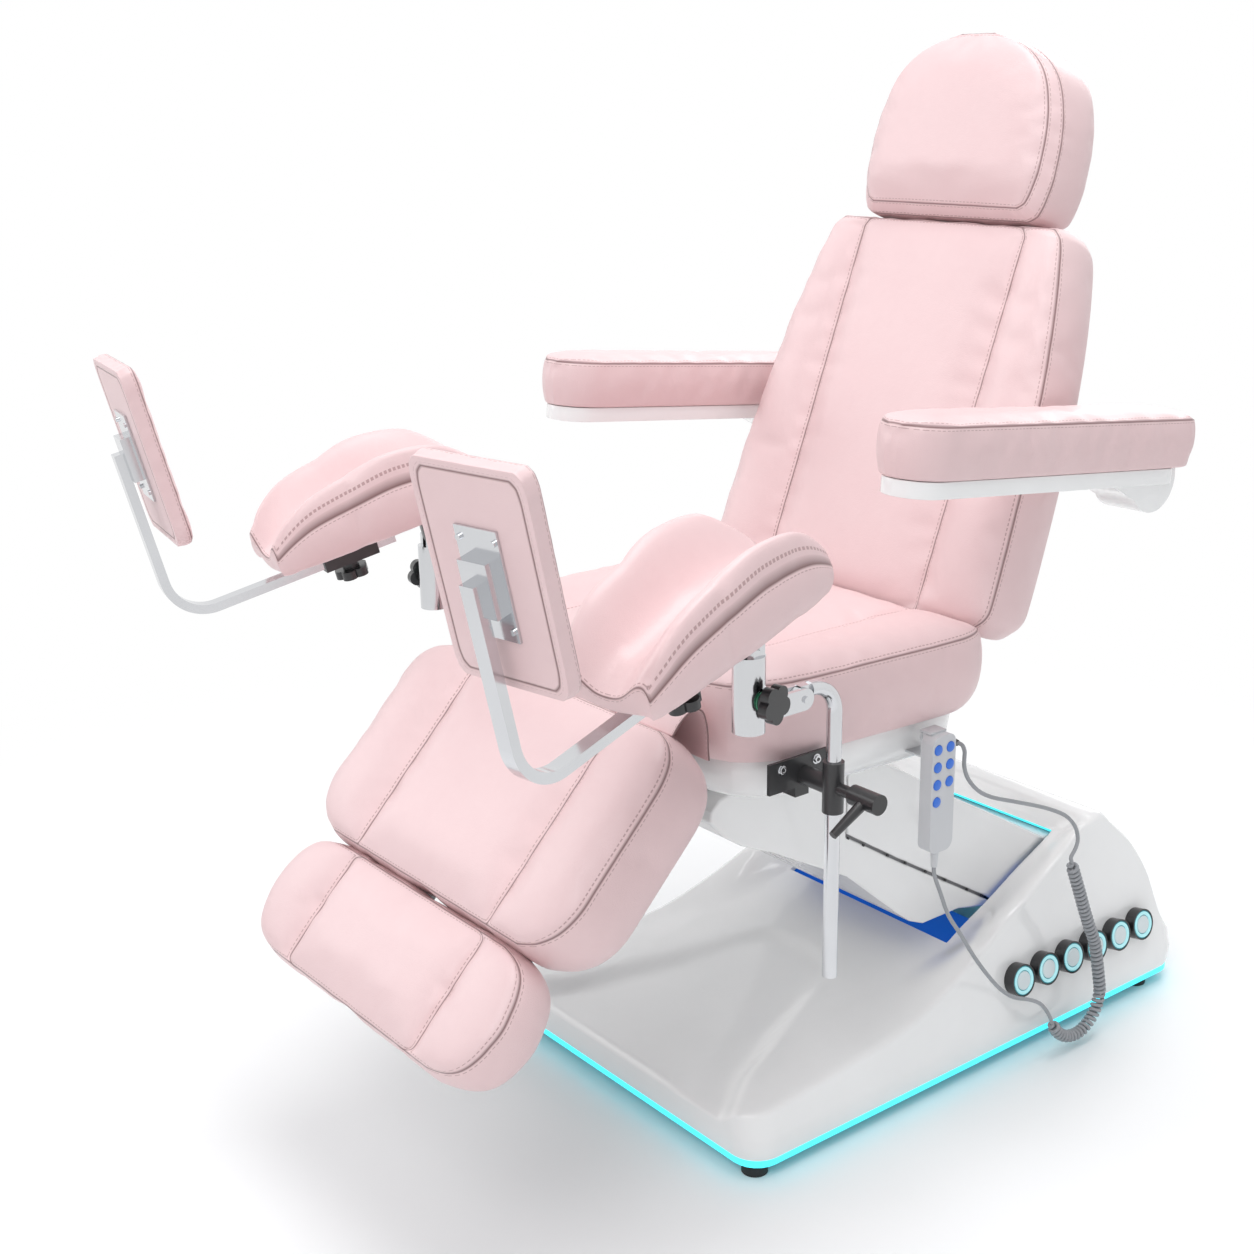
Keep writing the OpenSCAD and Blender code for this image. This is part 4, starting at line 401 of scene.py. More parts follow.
@dataclass(frozen=True)
class Leather:
    """Satin upholstery with a fine pebbled grain, painted shade in the seams' grooves and stitched
    lines.
    """

    color: Point = (0.80, 0.595, 0.60)
    shade: Point = (0.74, 0.52, 0.53)
    # seam is the colour of the painted shade in the seams' grooves
    seam: Point = (0.22, 0.12, 0.12)
    thread: Point = (0.52, 0.34, 0.34)
    roughness: float = 0.4
    groove: float = 0.0019
    stitch_from: float = 0.0036
    stitch_width: float = 0.0009
    stitch_pitch: float = 0.007
    stitch_share: float = 0.62
    coat: tuple[float, float] = (0.2, 0.3)
    # Noises, as how many to a metre and how much: two sizes of blotch, sheen and creases.
    blotch: tuple[float, float] = (7, 0.7)
    speck: tuple[float, float] = (55, 0.3)
    sheen: tuple[float, float] = (18, 0.1)
    crease: tuple[float, float] = (90, 0.5)
    # The grain's cells to a metre, what they add to the roughness and to the relief.
    grain: Point = (820, 0.16, 0.25)
    thread_rise: float = 0.9
    groove_drop: float = 1.2
    relief: tuple[float, float] = (0.0011, 0.55)

    def surface(self) -> Surface:
        """Builds the material.

        A painted shade darkens the groove near a seam. The stitches are dashes along a line beside
        it: the fraction of the way along, cut off at a share of the pitch.

        Returns:
            The leather.
        """
        s = Surface("pink_leather", self.color, self.roughness)
        s.constant("Coat Weight", self.coat[0]).constant("Coat Roughness", self.coat[1])
        tone = s.noise(self.blotch[0], 3) * self.blotch[1] + s.noise(self.speck[0], 2) * self.speck[1]
        tone = (tone - self.blotch[1] / 2).clamped()
        base = s.mixed(tone, self.color, self.shade)
        seam, along = s.attribute("seam"), s.attribute("along")
        # Painted shade in the seams' grooves: this mask darkens the colour towards a seam and also
        # lowers the bump there.
        groove = (1 - seam / self.groove).clamped()
        dash = (along / self.stitch_pitch).fraction().below(self.stitch_share)
        line = abs(seam - self.stitch_from).below(self.stitch_width / 2)
        stitched = s.mixed(line * dash, s.mixed(groove, base, self.seam), self.thread)
        s.drive("Base Color", stitched)
        cells, rough, raised = self.grain
        grain = s.cells(cells)
        dull = grain * rough + s.noise(self.sheen[0], 2) * self.sheen[1]
        s.drive("Roughness", (dull + self.roughness - self.sheen[1]).clamped())
        height = grain * raised + s.noise(self.crease[0], 3) * self.crease[1]
        s.bump(height + line * dash * self.thread_rise - groove * self.groove_drop, *self.relief)
        return s


@dataclass(frozen=True)
class Moulding:
    """Moulded plastic or coated metal, with faint unevenness."""

    name: str
    color: Point
    roughness: float
    coat: float = 0.0
    metallic: float = 0.0
    texture: float = 600.0
    relief: float = 0.00008
    glow: float = 0.0
    coat_roughness: float = 0.06
    wear: tuple[float, float] = (9, 0.93)
    haze: tuple[float, float] = (35, 0.09)
    relief_strength: float = 0.4

    def surface(self) -> Surface:
        """Builds the material, slightly worn in soft patches.

        Returns:
            The plastic or coated metal.
        """
        s = Surface(self.name, self.color, self.roughness, self.metallic)
        s.constant("Coat Weight", self.coat).constant("Coat Roughness", self.coat_roughness)
        worn = tuple(c * self.wear[1] for c in self.color)
        s.drive("Base Color", s.mixed(s.noise(self.wear[0], 3), self.color, worn))
        scale, share = self.haze
        s.drive("Roughness", (s.noise(scale, 3) * share + self.roughness - share / 2).clamped())
        s.bump(s.noise(self.texture, 2), self.relief, self.relief_strength)
        if self.glow:
            s.constant("Emission Color", (*self.color, 1)).constant("Emission Strength", self.glow)
        return s


@dataclass(frozen=True)
class Metal:
    """Polished or drawn metal with fine lines along one axis."""

    name: str
    color: Point
    roughness: float
    stretch: Point = (1, 1, 0.05)
    lines: float = 1400
    streak: tuple[float, float] = (0.08, 0.03)
    tarnish: tuple[float, float] = (12, 0.9)
    relief: tuple[float, float] = (0.00002, 0.25)

    def surface(self) -> Surface:
        """Builds the material, with noise drawn out along one axis.

        Returns:
            The bare metal.
        """
        s = Surface(self.name, self.color, self.roughness, 1.0)
        lines = s.noise(self.lines, 2, self.stretch)
        s.drive("Roughness", (lines * self.streak[0] + self.roughness - self.streak[1]).clamped())
        dark = tuple(c * self.tarnish[1] for c in self.color)
        s.drive("Base Color", s.mixed(s.noise(self.tarnish[0], 2), self.color, dark))
        s.bump(lines, *self.relief)
        return s


class Palette:
    """Every finish of the chair, by slot."""

    def __init__(self) -> None:
        """Makes a material for each slot."""
        made = {
            Slot.LEATHER: Leather(),
            Slot.SHELL: Moulding("white_gloss", (0.93, 0.93, 0.925), 0.2, coat=0.6),
            Slot.STEEL: Moulding("grey_coat", (0.2, 0.2, 0.21), 0.45, texture=1500, relief=0.0002),
            Slot.WHITE_METAL: Moulding("white_coat", (0.8, 0.8, 0.8), 0.38, texture=1500),
            Slot.CHROME: Metal("polished_chrome", (0.68, 0.69, 0.71), 0.14),
            Slot.BLACK_METAL: Moulding("black_coat", (0.035, 0.035, 0.037), 0.35, coat=0.2),
            Slot.BLACK_PLASTIC: Moulding("black_moulding", (0.018, 0.018, 0.02), 0.3, coat=0.3),
            Slot.RUBBER: Moulding("rubber", (0.02, 0.02, 0.02), 0.8, texture=900, relief=0.0003),
            Slot.LIGHT: Moulding("cyan_light", (0.06, 0.76, 0.9), 0.4, glow=1.1),
            # The tray's glow is painted light: the well's lights fall on it, it is no lamp itself.
            Slot.TRAY: Moulding("blue_tray_painted_glow", (0.015, 0.13, 0.55), 0.25, coat=0.4, glow=0.4),
            Slot.KEY: Moulding("silver_key", (0.72, 0.8, 0.82), 0.3, coat=0.3),
            Slot.HANDSET: Moulding("handset_case", (0.62, 0.63, 0.65), 0.4, texture=1800),
            Slot.HAND_KEY: Moulding("blue_key", (0.015, 0.16, 0.72), 0.3, coat=0.3),
            Slot.CORD: Moulding("cord_jacket", (0.33, 0.34, 0.36), 0.5, texture=1500),
        }
        self._made = {slot: finish.surface().material for slot, finish in made.items()}

    def __getitem__(self, slot: Slot) -> bpy.types.Material:
        """The material of a slot."""
        return self._made[slot]

    def other(self, finish: Moulding | Metal) -> bpy.types.Material:
        """A finish of one small piece."""
        return finish.surface().material


# ---- Meshes ----------------------------------------------------------------------------------


class Workshop:
    """Makes mesh objects from point arrays and hands them to the frame."""

    def __init__(self, palette: Palette) -> None:
        """Keeps the finishes at hand."""
        self.palette = palette

    def mesh(self, name: str, points: np.ndarray, faces: Sequence[Sequence[int]],
             values: dict[str, np.ndarray] | None = None) -> bpy.types.Object:
        """Makes a mesh object at the origin.

        Args:
            name: The piece's name.
            points: Its points in metres.
            faces: Its faces as point numbers.
            values: Values kept on the points, by name.

        Returns:
            The object.
        """
        data = bpy.data.meshes.new(name)
        rows = np.asarray(points, float).reshape(-1, 3).tolist()
        data.from_pydata(rows, [], [list(f) for f in faces])
        for key, value in (values or {}).items():
            data.attributes.new(key, "FLOAT", "POINT").data.foreach_set(
                "value", np.ascontiguousarray(value, np.float32))
        data.validate()
        obj = bpy.data.objects.new(name, data)
        bpy.context.scene.collection.objects.link(obj)
        return obj

    def shade(self, obj: bpy.types.Object, angle: float = 40.0, outward: bool = True) -> None:
        """Smooths the faces and leaves the sharper edges sharp.

        Args:
            obj: The piece.
            angle: Edges sharper than this stay sharp, in degrees.
            outward: Whether the faces are turned outwards first.
        """
        bm = bmesh.new()
        bm.from_mesh(obj.data)
        if outward:
            bmesh.ops.recalc_face_normals(bm, faces=bm.faces)
        for face in bm.faces:
            face.smooth = True
        for edge in bm.edges:
            edge.smooth = edge.calc_face_angle(0.0) < math.radians(angle)
        bm.to_mesh(obj.data)
        bm.free()

    def subdivide(self, obj: bpy.types.Object, levels: int = 1) -> None:
        """Adds a subdivision surface, the same in the view and the render."""
        modifier = obj.modifiers.new("surface", "SUBSURF")
        modifier.levels = modifier.render_levels = levels

    def fitted(self, obj: bpy.types.Object, body: str, slot: Slot, *nodes: str,
               material: bpy.types.Material | None = None) -> bpy.types.Object:
        """Gives a piece its finish and its body, and hides the nodes that it stands for.

        Args:
            obj: The piece.
            body: The body that it rides on.
            slot: Its material slot.
            nodes: The CAD nodes that it replaces.
            material: Its material, where it isn't the slot's own.

        Returns:
            The piece.
        """
        obj.data.materials.clear()
        obj.data.materials.append(material or self.palette[slot])
        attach(obj, body)
        if nodes:
            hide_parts(*nodes)
        log.info("%s rides on %s", obj.name, body)
        return obj

    def lathe(self, name: str, profile: Sequence[tuple[float, float]], matrix: Matrix,
              turns: int = 48) -> bpy.types.Object:
        """A turned piece: each point of the profile is carried round the Z axis.

        Args:
            name: The piece's name.
            profile: Radius and height of each point, in mm.
            matrix: Where the axis stands.
            turns: Points round a circle.

        Returns:
            The object.
        """
        angles = np.linspace(0, 2 * math.pi, turns, endpoint=False)
        circle = np.stack([np.cos(angles), np.sin(angles)], 1)
        rings = [np.column_stack([circle * max(r, 1e-4), np.full(turns, z)]) for r, z in profile]
        ids = np.arange(len(rings) * turns).reshape(-1, turns)
        faces = [face for low, high in zip(ids, ids[1:]) for face in band_faces(high, low)]
        obj = self.mesh(name, placed(moved(np.concatenate(rings), matrix)),
                        faces + [tuple(ids[0]), tuple(ids[-1])])
        self.shade(obj, 35)
        return obj

    def softened(self, name: str, source: str, radius: float, segments: int = 3, angle: float = 35.0,
                 island: Callable[[np.ndarray], bool] | None = None,
                 only: Callable[[Vector, Vector], bool] | None = None) -> bpy.types.Object:
        """A copy of a node's solid with its sharp edges rounded, as moulded pieces are.

        Args:
            name: The new piece's name.
            source: The node that is copied.
            radius: How wide the rounding is, in mm; 0 leaves the edges sharp.
            segments: Faces across a rounding.
            angle: Edges sharper than this are rounded, in degrees.
            island: Picks the node's separate solids by their points, in metres.
            only: Picks the edges to round by their two ends, in metres.

        Returns:
            The new object, at the origin.
        """
        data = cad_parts[source].data.copy()
        data.name = name
        bm = bmesh.new()
        bm.from_mesh(data)
        bmesh.ops.remove_doubles(bm, verts=bm.verts, dist=1e-6)
        if island:
            self._keep(bm, island)
        bmesh.ops.dissolve_limit(bm, angle_limit=math.radians(1.0), verts=bm.verts, edges=bm.edges)
        if radius:
            edges = [e for e in bm.edges if len(e.link_faces) == 2
                     and e.calc_face_angle(0.0) > math.radians(angle)
                     and (only is None or only(e.verts[0].co, e.verts[1].co))]
            bmesh.ops.bevel(bm, geom=edges, offset=radius * MM, segments=segments, affect="EDGES",
                            profile=0.5, clamp_overlap=True)
        bmesh.ops.triangulate(bm, faces=[f for f in bm.faces if len(f.verts) > 4])
        bm.to_mesh(data)
        bm.free()
        data.materials.clear()
        obj = bpy.data.objects.new(name, data)
        bpy.context.scene.collection.objects.link(obj)
        self.shade(obj, 32, outward=False)
        return obj

    @staticmethod
    def _keep(bm: bmesh.types.BMesh, island: Callable[[np.ndarray], bool]) -> None:
        """Deletes the separate solids that island doesn't pick.

        Args:
            bm: The mesh that is cut down.
            island: Picks a solid by its points, in metres.
        """
        bm.verts.index_update()
        seen: set[int] = set()
        dropped = []
        for start in bm.verts:
            if start.index in seen:
                continue
            seen.add(start.index)
            group = [start]
            for v in group:
                for o in (e.other_vert(v) for e in v.link_edges):
                    if o.index not in seen:
                        seen.add(o.index)
                        group.append(o)
            if not island(np.array([v.co for v in group])):
                dropped += group
        bmesh.ops.delete(bm, geom=dropped, context="VERTS")


# ---- Upholstery ------------------------------------------------------------------------------


@dataclass(frozen=True)
class PadSize:
    """A pad in its own frame: x across, y along its length, z out of its face; in mm.

    Attributes:
        length: How long it is.
        half: Half its greatest width.
        thick: From its seam to its underside.
        crown: From its seam to its top.
        rows: Shares of the length, of half and of crown, from one end to the other.
        channel: Where the stitched channels run, from the middle; 0 for none.
        bulge: How far its walls stand out.
        tuck: How far its walls are drawn in below.
        rises: Shares of crown from the middle to the edge, where there is no channel.
        places: The shares of the half width that rises belong to.
        pressure: What swells its cover.
        steps: The distance between its rows of points.
        flare: How far its wall runs outwards to a second seam; 0 for no such seam.
        flare_seam: The depth share of that second seam.
        pucker: The height of the gathers beside its seams.
        tuck_share: The depth share over which the wall is drawn in.
        back_seam: How far inside the edge a seam runs on the underside; 0 for none.
    """

    length: float
    half: float
    thick: float
    crown: float
    rows: tuple[Point, ...]
    channel: float = 0.0
    bulge: float = 5.0
    tuck: float = 18.0
    rises: tuple[float, ...] = (1, 0.97, 0.86, 0.6, 0)
    places: tuple[float, ...] = (0, 0.4, 0.75, 0.93, 1)
    fill: float = 0.7
    pressure: float = 4.0
    steps: int = 14
    flare: float = 0.0
    flare_seam: float = 1 / 6
    pucker: float = 0.7
    tuck_share: float = 0.3
    back_seam: float = 0.0

    def read(self, column: int, at: np.ndarray) -> np.ndarray:
        """One column of rows, read at shares of the length."""
        rows = np.array(self.rows)
        return curve_through(rows[:, 0], rows[:, column], at)


SEAT_ROWS = ((0, 0.69, 0), (0.036, 0.813, 0.5), (0.1, 0.89, 0.85), (0.19, 0.939, 1), (0.5, 0.97, 0.9),
             (0.76, 0.995, 0.9), (0.87, 1, 0.85), (0.945, 0.975, 0.6), (1, 0.92, 0))
BACK_ROWS = ((0, 0.9, 0), (0.05, 0.985, 0.7), (0.32, 0.966, 1), (0.58, 0.919, 1), (0.72, 0.88, 1),
             (0.824, 0.84, 0.95), (0.907, 0.8, 0.8), (0.974, 0.755, 0.45), (1, 0.7, 0))
CALF_ROWS = ((0, 0.76, 0), (0.04, 0.87, 0.6), (0.12, 0.96, 0.9), (0.25, 1, 1), (0.5, 1, 1),
             (0.75, 1, 1), (0.88, 0.975, 0.95), (0.96, 0.9, 0.6), (1, 0.8, 0))
FOOT_ROWS = ((0, 0.7, 0), (0.04, 0.83, 0.5), (0.15, 0.93, 0.85), (0.35, 0.985, 1), (0.5, 1, 1),
             (0.65, 0.985, 1), (0.85, 0.93, 0.85), (0.96, 0.83, 0.5), (1, 0.7, 0))
HEAD_ROWS = ((0, 0.84, 0), (0.03, 0.92, 0.5), (0.12, 0.97, 0.9), (0.25, 1, 1), (0.37, 1, 1),
             (0.5, 0.98, 1), (0.62, 0.935, 1), (0.75, 0.85, 0.95), (0.86, 0.7, 0.8), (0.95, 0.45, 0.5),
             (1, 0.18, 0))
ARM_ROWS = ((0, 0.2, 0), (0.012, 0.52, 0.6), (0.044, 0.87, 0.9), (0.089, 1, 1), (0.4, 1, 1),
            (0.8, 1, 1), (0.97, 0.97, 0.8), (1, 0.88, 0))
LEG_ROWS = ((0, 0.8, 0.38), (0.05, 0.9, 0.55), (0.2, 1, 0.88), (0.32, 1, 0.97), (0.44, 1, 1),
            (0.64, 0.97, 0.9), (0.8, 0.94, 0.8), (0.92, 0.88, 0.6), (1, 0.76, 0.36))
PLATE_ROWS = ((0, 0.86, 0), (0.03, 0.96, 0.8), (0.1, 1, 1), (0.5, 1, 1), (0.9, 1, 1),
              (0.97, 0.96, 0.8), (1, 0.86, 0))


class Pad:
    """A sewn pad: a fine grid over its top, its walls and its underside, swollen by pressure."""

    COLUMNS = np.array((0, 0.14, 0.28, 0.42, 0.56, 0.7, 0.8, 0.88, 0.94, 0.98, 1))
    INNER = np.array((0, 0.2, 0.4, 0.58, 0.74, 0.86, 0.94, 0.98))
    OUTER = np.array((0, 0.03, 0.09, 0.2, 0.36, 0.54, 0.7, 0.82, 0.91, 0.97, 1))
    WALL = np.array((0.05, 0.14, 0.28, 0.45, 0.62, 0.78, 0.9, 0.97, 1.0))
    # A channelled row, in shares of the crown: the middle, how much it arches, the foot of the
    # side's roll, its height, how much of a sine it is, and the groove's depth.
    MIDDLE, ARCH, SIDE, ROLL, ROLL_TURN, GROOVE = 0.62, 0.06, 0.66, 0.34, 0.62, 0.75
    CHANNEL_MOST = 0.72  # share of a row's half width that a channel stays inside
    EDGE_ROUND, GROOVE_HALF = 30.0, 8.0
    # Shares of the length where rows are added, for long and for short pads.
    LONG, LONG_ENDS, SHORT_ENDS = 200.0, (0.012, 0.03, 0.97, 0.988), (0.02, 0.98)
    LEAST_ROWS = 14
    # The wall: where the bulge ends, its sine's power, and the same for a flared wall with the
    # swell of its band and the share over which it is drawn in.
    BULGE_END, BULGE_POWER, FLARED_END, BAND_SWELL, FLARED_TUCK = 0.8, 0.8, 0.9, 1.5, 0.24
    SEAM_NEAR, FOOT_FROM = 1.5, 0.88  # points this near a seam, or below this depth share, stay put
    UNDERSIDE = (0.3, 0.65)  # shares of the half width where the underside's rings are
    BACK_SEAM = (-3, -1.2, 0, 1.2, 3)  # rings across a seam on the underside
    BACK_RAISE, BACK_NEAR = 0.7, 1.2
    # A flared wall's rings over its band, beside its seam and below it, in depth shares.
    BAND_LEVELS, SEAM_SIDE = (0.03, 0.08, 0.13), 0.012
    LOWER_LEVELS = (0.22, 0.32, 0.46, 0.62, 0.76, 0.86, 0.93, 0.98, 1.0)
    SLANT, OFF_SEAM = 1.2, 0.01  # a flared wall's length to its depth; mm that a ring stays off
    # The cover as cloth: its mass and stiffness, and how much it grows.
    FRAMES, QUALITY = 16, 5
    MASS, STRETCH, SHEAR, BEND, GROW = 0.4, 12, 6, 0.6, -0.012
    # Gathers: waves along a seam in radians a mm, and the bell across it in mm.
    WAVE, SWAY, SWAY_WAVE, BEAT, BEAT_FROM = 0.31, 1.7, 0.043, 0.117, 0.6
    GATHER_AT, GATHER_HALF, GATHER_LOW = 9.0, 11.0, -3.0

    def __init__(self, shop: Workshop, name: str, size: PadSize) -> None:
        """Notes what is to be made."""
        self.shop, self.name, self.size = shop, name, size

    def _half_columns(self, w: float) -> tuple[np.ndarray, np.ndarray, np.ndarray]:
        """One half of a row across the top.

        With a channel, the middle is nearly flat, the side rolls up in a sine and falls off in
        a quarter circle at the edge, and a bell-shaped groove is taken out along the channel.

        Args:
            w: The row's half width.

        Returns:
            x, the share of the crown, and the distance to the channel, from the middle outwards.
        """
        s = self.size
        if not s.channel:
            x = w * self.COLUMNS
            return x, curve_through(s.places, s.rises, self.COLUMNS), np.full(len(x), FAR)
        g = min(s.channel, w * self.CHANNEL_MOST)
        x = np.concatenate([g * self.INNER, g + (w - g) * self.OUTER])
        middle = self.MIDDLE + self.ARCH * np.cos(x / max(g, 1) * math.pi)
        roll = np.sin(np.clip((x - g) / (w - g), 0, 1) * math.pi * self.ROLL_TURN)
        shape = np.where(x < g, middle, self.SIDE + self.ROLL * roll)
        shape = shape * quarter((w - x) / self.EDGE_ROUND)
        groove = self.GROOVE * np.exp(-((x - g) / self.GROOVE_HALF) ** 2)
        return x, shape - groove, np.abs(x - g)

    def _top(self) -> tuple[np.ndarray, np.ndarray, np.ndarray]:
        """The grid of the top: rows along the length, each as wide and as high as its share says.

        Returns:
            The points by row and column, the distance of each to the nearest seam, and how far
            along that seam it stands.
        """
        s = self.size
        ends = self.LONG_ENDS if s.length > self.LONG else self.SHORT_ENDS
        shares = np.linspace(0, 1, max(self.LEAST_ROWS, int(s.length / s.steps)) + 1)
        top, seam, along = [], [], []
        for t in np.unique(np.concatenate([shares, ends])):
            w, h = float(s.read(1, t)) * s.half, float(s.read(2, t))
            x, shape, channel = self._half_columns(w)
            y = t * s.length
            edge = np.minimum(w - x, min(t, 1 - t) * s.length)
            run = np.where((channel < edge) | (w - x <= edge + 1e-6), y, x)
            xs = both_halves(x)
            xs[:len(x) - 1] *= -1
            top.append(np.column_stack([xs, np.full(len(xs), y), both_halves(s.crown * h * shape)]))
            seam.append(both_halves(np.minimum(channel, edge)))
            along.append(both_halves(run))
        return np.array(top), np.concatenate(seam), np.concatenate(along)

    def build(self) -> tuple[np.ndarray, list[Face], dict[str, np.ndarray], np.ndarray]:
        """The whole cover: the top, rings down the wall, and rings drawn in below.

        Each wall ring is the top's outline, scaled so that it stands out by the wall's shape.
        The underside's rings shrink towards the middle line and end in a fan.

        Returns:
            Points in mm in the pad's frame, faces, the seam values, and which points stay put.
        """
        s = self.size
        grid, seam, along = self._top()
        m, n = grid.shape[:2]
        loop = border(0, m - 1, 0, n - 1)
        edge = np.array([grid[e] for e in loop])
        before = np.array([r * n + c for r, c in loop])
        k, mid = len(loop), s.length / 2
        pin = s.length if s.flare else mid
        reach = max(pin, s.length - pin)
        points, seams, runs = [grid.reshape(-1, 3)], [seam], [along]
        for q, g in zip(*self._wall()):
            ring = np.column_stack([
                edge[:, 0] * (1 + g / s.half), pin + (edge[:, 1] - pin) * (1 + g / reach),
                edge[:, 2] * (1 - q) - s.thick * q])
            points.append(ring)
            second = abs(q - s.flare_seam) * s.thick * self.SLANT if s.flare else FAR
            seams.append(np.minimum(np.linalg.norm(ring - edge, axis=1), second) + self.OFF_SEAM)
        last, b = points[-1], s.back_seam
        inner = [(b + o, abs(o)) for o in self.BACK_SEAM] if b else []
        for inset, gap in inner + [(s.half * share, FAR) for share in self.UNDERSIDE]:
            near = gap < FAR
            f, fy = 1 - inset / s.half, 1 - (inset if near else mid * inset / s.half) / mid
            lift = self.BACK_RAISE * math.exp(-(gap / self.BACK_NEAR) ** 2) if near else 0.0
            points.append(np.column_stack([
                last[:, 0] * f, mid + (last[:, 1] - mid) * fy, last[:, 2] + lift]))
            seams.append(np.full(k, float(gap)))
        runs += [along[before]] * (len(points) - 1)
        faces = sheet_faces(m, n)
        for g in range(len(points) - 1):
            now = m * n + g * k + np.arange(k)
            faces += band_faces(before, now)
            before = now
        total = m * n + (len(points) - 1) * k
        faces += [(before[(i + 1) % k], before[i], total) for i in range(k)]
        pts = np.concatenate(points + [[[0, mid, last[:, 2].mean()]]])
        sm = np.concatenate(seams + [[FAR]])
        held = (sm < self.SEAM_NEAR) | (pts[:, 2] < -s.thick * self.FOOT_FROM)
        return pts, faces, {"seam": sm * MM, "along": np.concatenate(runs + [[0.0]]) * MM}, held

    def _wall(self) -> tuple[np.ndarray, np.ndarray]:
        """Depth shares of the wall's rings, and how far each stands out in mm.

        A plain wall bulges in a sine and is drawn in along a quarter circle at its foot. A
        flared one runs outwards to its second seam first.

        Returns:
            The depth shares, from the seam down, and the distances outwards.
        """
        s = self.size
        if not s.flare:
            bulge = np.sin(np.clip(self.WALL / self.BULGE_END, 0, 1) * math.pi) ** self.BULGE_POWER
            drawn = 1 - quarter((1 - self.WALL) / s.tuck_share)
            return self.WALL, s.bulge * bulge - s.tuck * drawn
        e = s.flare_seam
        levels = np.array([*self.BAND_LEVELS, e - self.SEAM_SIDE, e, e + self.SEAM_SIDE,
                           *self.LOWER_LEVELS])
        band = np.clip(levels / e, 0, 1)
        below = np.clip((levels - e) / (self.FLARED_END - e), 0, 1)
        shape = s.flare * band + self.BAND_SWELL * np.sin(band * math.pi)
        shape = shape + s.bulge * np.sin(below * math.pi) ** self.BULGE_POWER
        return levels, shape - (s.flare + s.tuck) * (1 - quarter((1 - levels) / self.FLARED_TUCK))

    def swollen(self, obj: bpy.types.Object, held: np.ndarray, cap: float) -> None:
        """Lets the cover swell under pressure between its seams, and keeps the result.

        Args:
            obj: The pad.
            held: Which of its points stay put.
            cap: How far a point may move, in mm.
        """
        group = obj.vertex_groups.new(name="held")
        group.add(np.nonzero(held)[0].tolist(), 1.0, "REPLACE")
        cloth = obj.modifiers.new("cloth", "CLOTH")
        c = cloth.settings
        c.quality, c.mass = self.QUALITY, self.MASS
        c.tension_stiffness = c.compression_stiffness = self.STRETCH
        c.shear_stiffness, c.bending_stiffness = self.SHEAR, self.BEND
        c.use_pressure, c.uniform_pressure_force = True, self.size.pressure
        c.shrink_min = self.GROW
        c.vertex_group_mass = "held"
        c.effector_weights.gravity = 0
        scene = bpy.context.scene
        start = read_points(obj.data)
        for number in range(1, self.FRAMES + 1):
            scene.frame_set(number)
        shaped = obj.evaluated_get(bpy.context.evaluated_depsgraph_get())
        end = read_points(shaped.to_mesh())
        shaped.to_mesh_clear()
        obj.modifiers.remove(cloth)
        scene.frame_set(1)
        move = end - start
        size = np.linalg.norm(move, axis=1)
        move *= np.minimum(1, cap * MM / np.maximum(size, 1e-9))[:, None]
        move[~np.isfinite(move)] = 0
        write_points(obj.data, start + move)
        log.info("%s swelled by up to %.1f mm", self.name, float(np.nanmax(size)) / MM)

    def make(self, matrix: Matrix, cap: float = 7.0, flat: bool = False) -> bpy.types.Object:
        """Builds the pad, lets it swell, and sets it in place.

        Args:
            matrix: Where the pad's own frame stands, in mm.
            cap: How far the cover may swell, in mm.
            flat: Whether the wall stops at the level of the seam, as under a leg pad's wings.

        Returns:
            The object.
        """
        points, faces, values, held = self.build()
        if flat:
            points[points[:, 2] < 0, 2] = 0
        obj = self.shop.mesh(self.name, points * MM, faces, values)
        self.shop.shade(obj, 180)
        self.swollen(obj, held, cap)
        local = self.puckered(read_points(obj.data).astype(float) / MM, values)
        write_points(obj.data, placed(moved(local, matrix)))
        if matrix.determinant() < 0:
            obj.data.flip_normals()
        obj.vertex_groups.clear()
        self.shop.subdivide(obj)
        return obj

    def puckered(self, points: np.ndarray, values: dict[str, np.ndarray]) -> np.ndarray:
        """Small gathers beside each seam: waves along it that die out within 30 mm.

        Args:
            points: The pad's points in mm.
            values: The seam values of the points, in metres.

        Returns:
            The points with the gathers.
        """
        d, a = values["seam"] / MM, values["along"] / MM
        wave = np.sin(a * self.WAVE + self.SWAY * np.sin(a * self.SWAY_WAVE))
        wave = wave * np.sin(a * self.BEAT + self.BEAT_FROM)
        lift = self.size.pucker * wave * np.exp(-((d - self.GATHER_AT) / self.GATHER_HALF) ** 2)
        out = points.copy()
        out[:, 2] += np.where(points[:, 2] > self.GATHER_LOW, lift, 0)
        return out


# ---- Places ----------------------------------------------------------------------------------


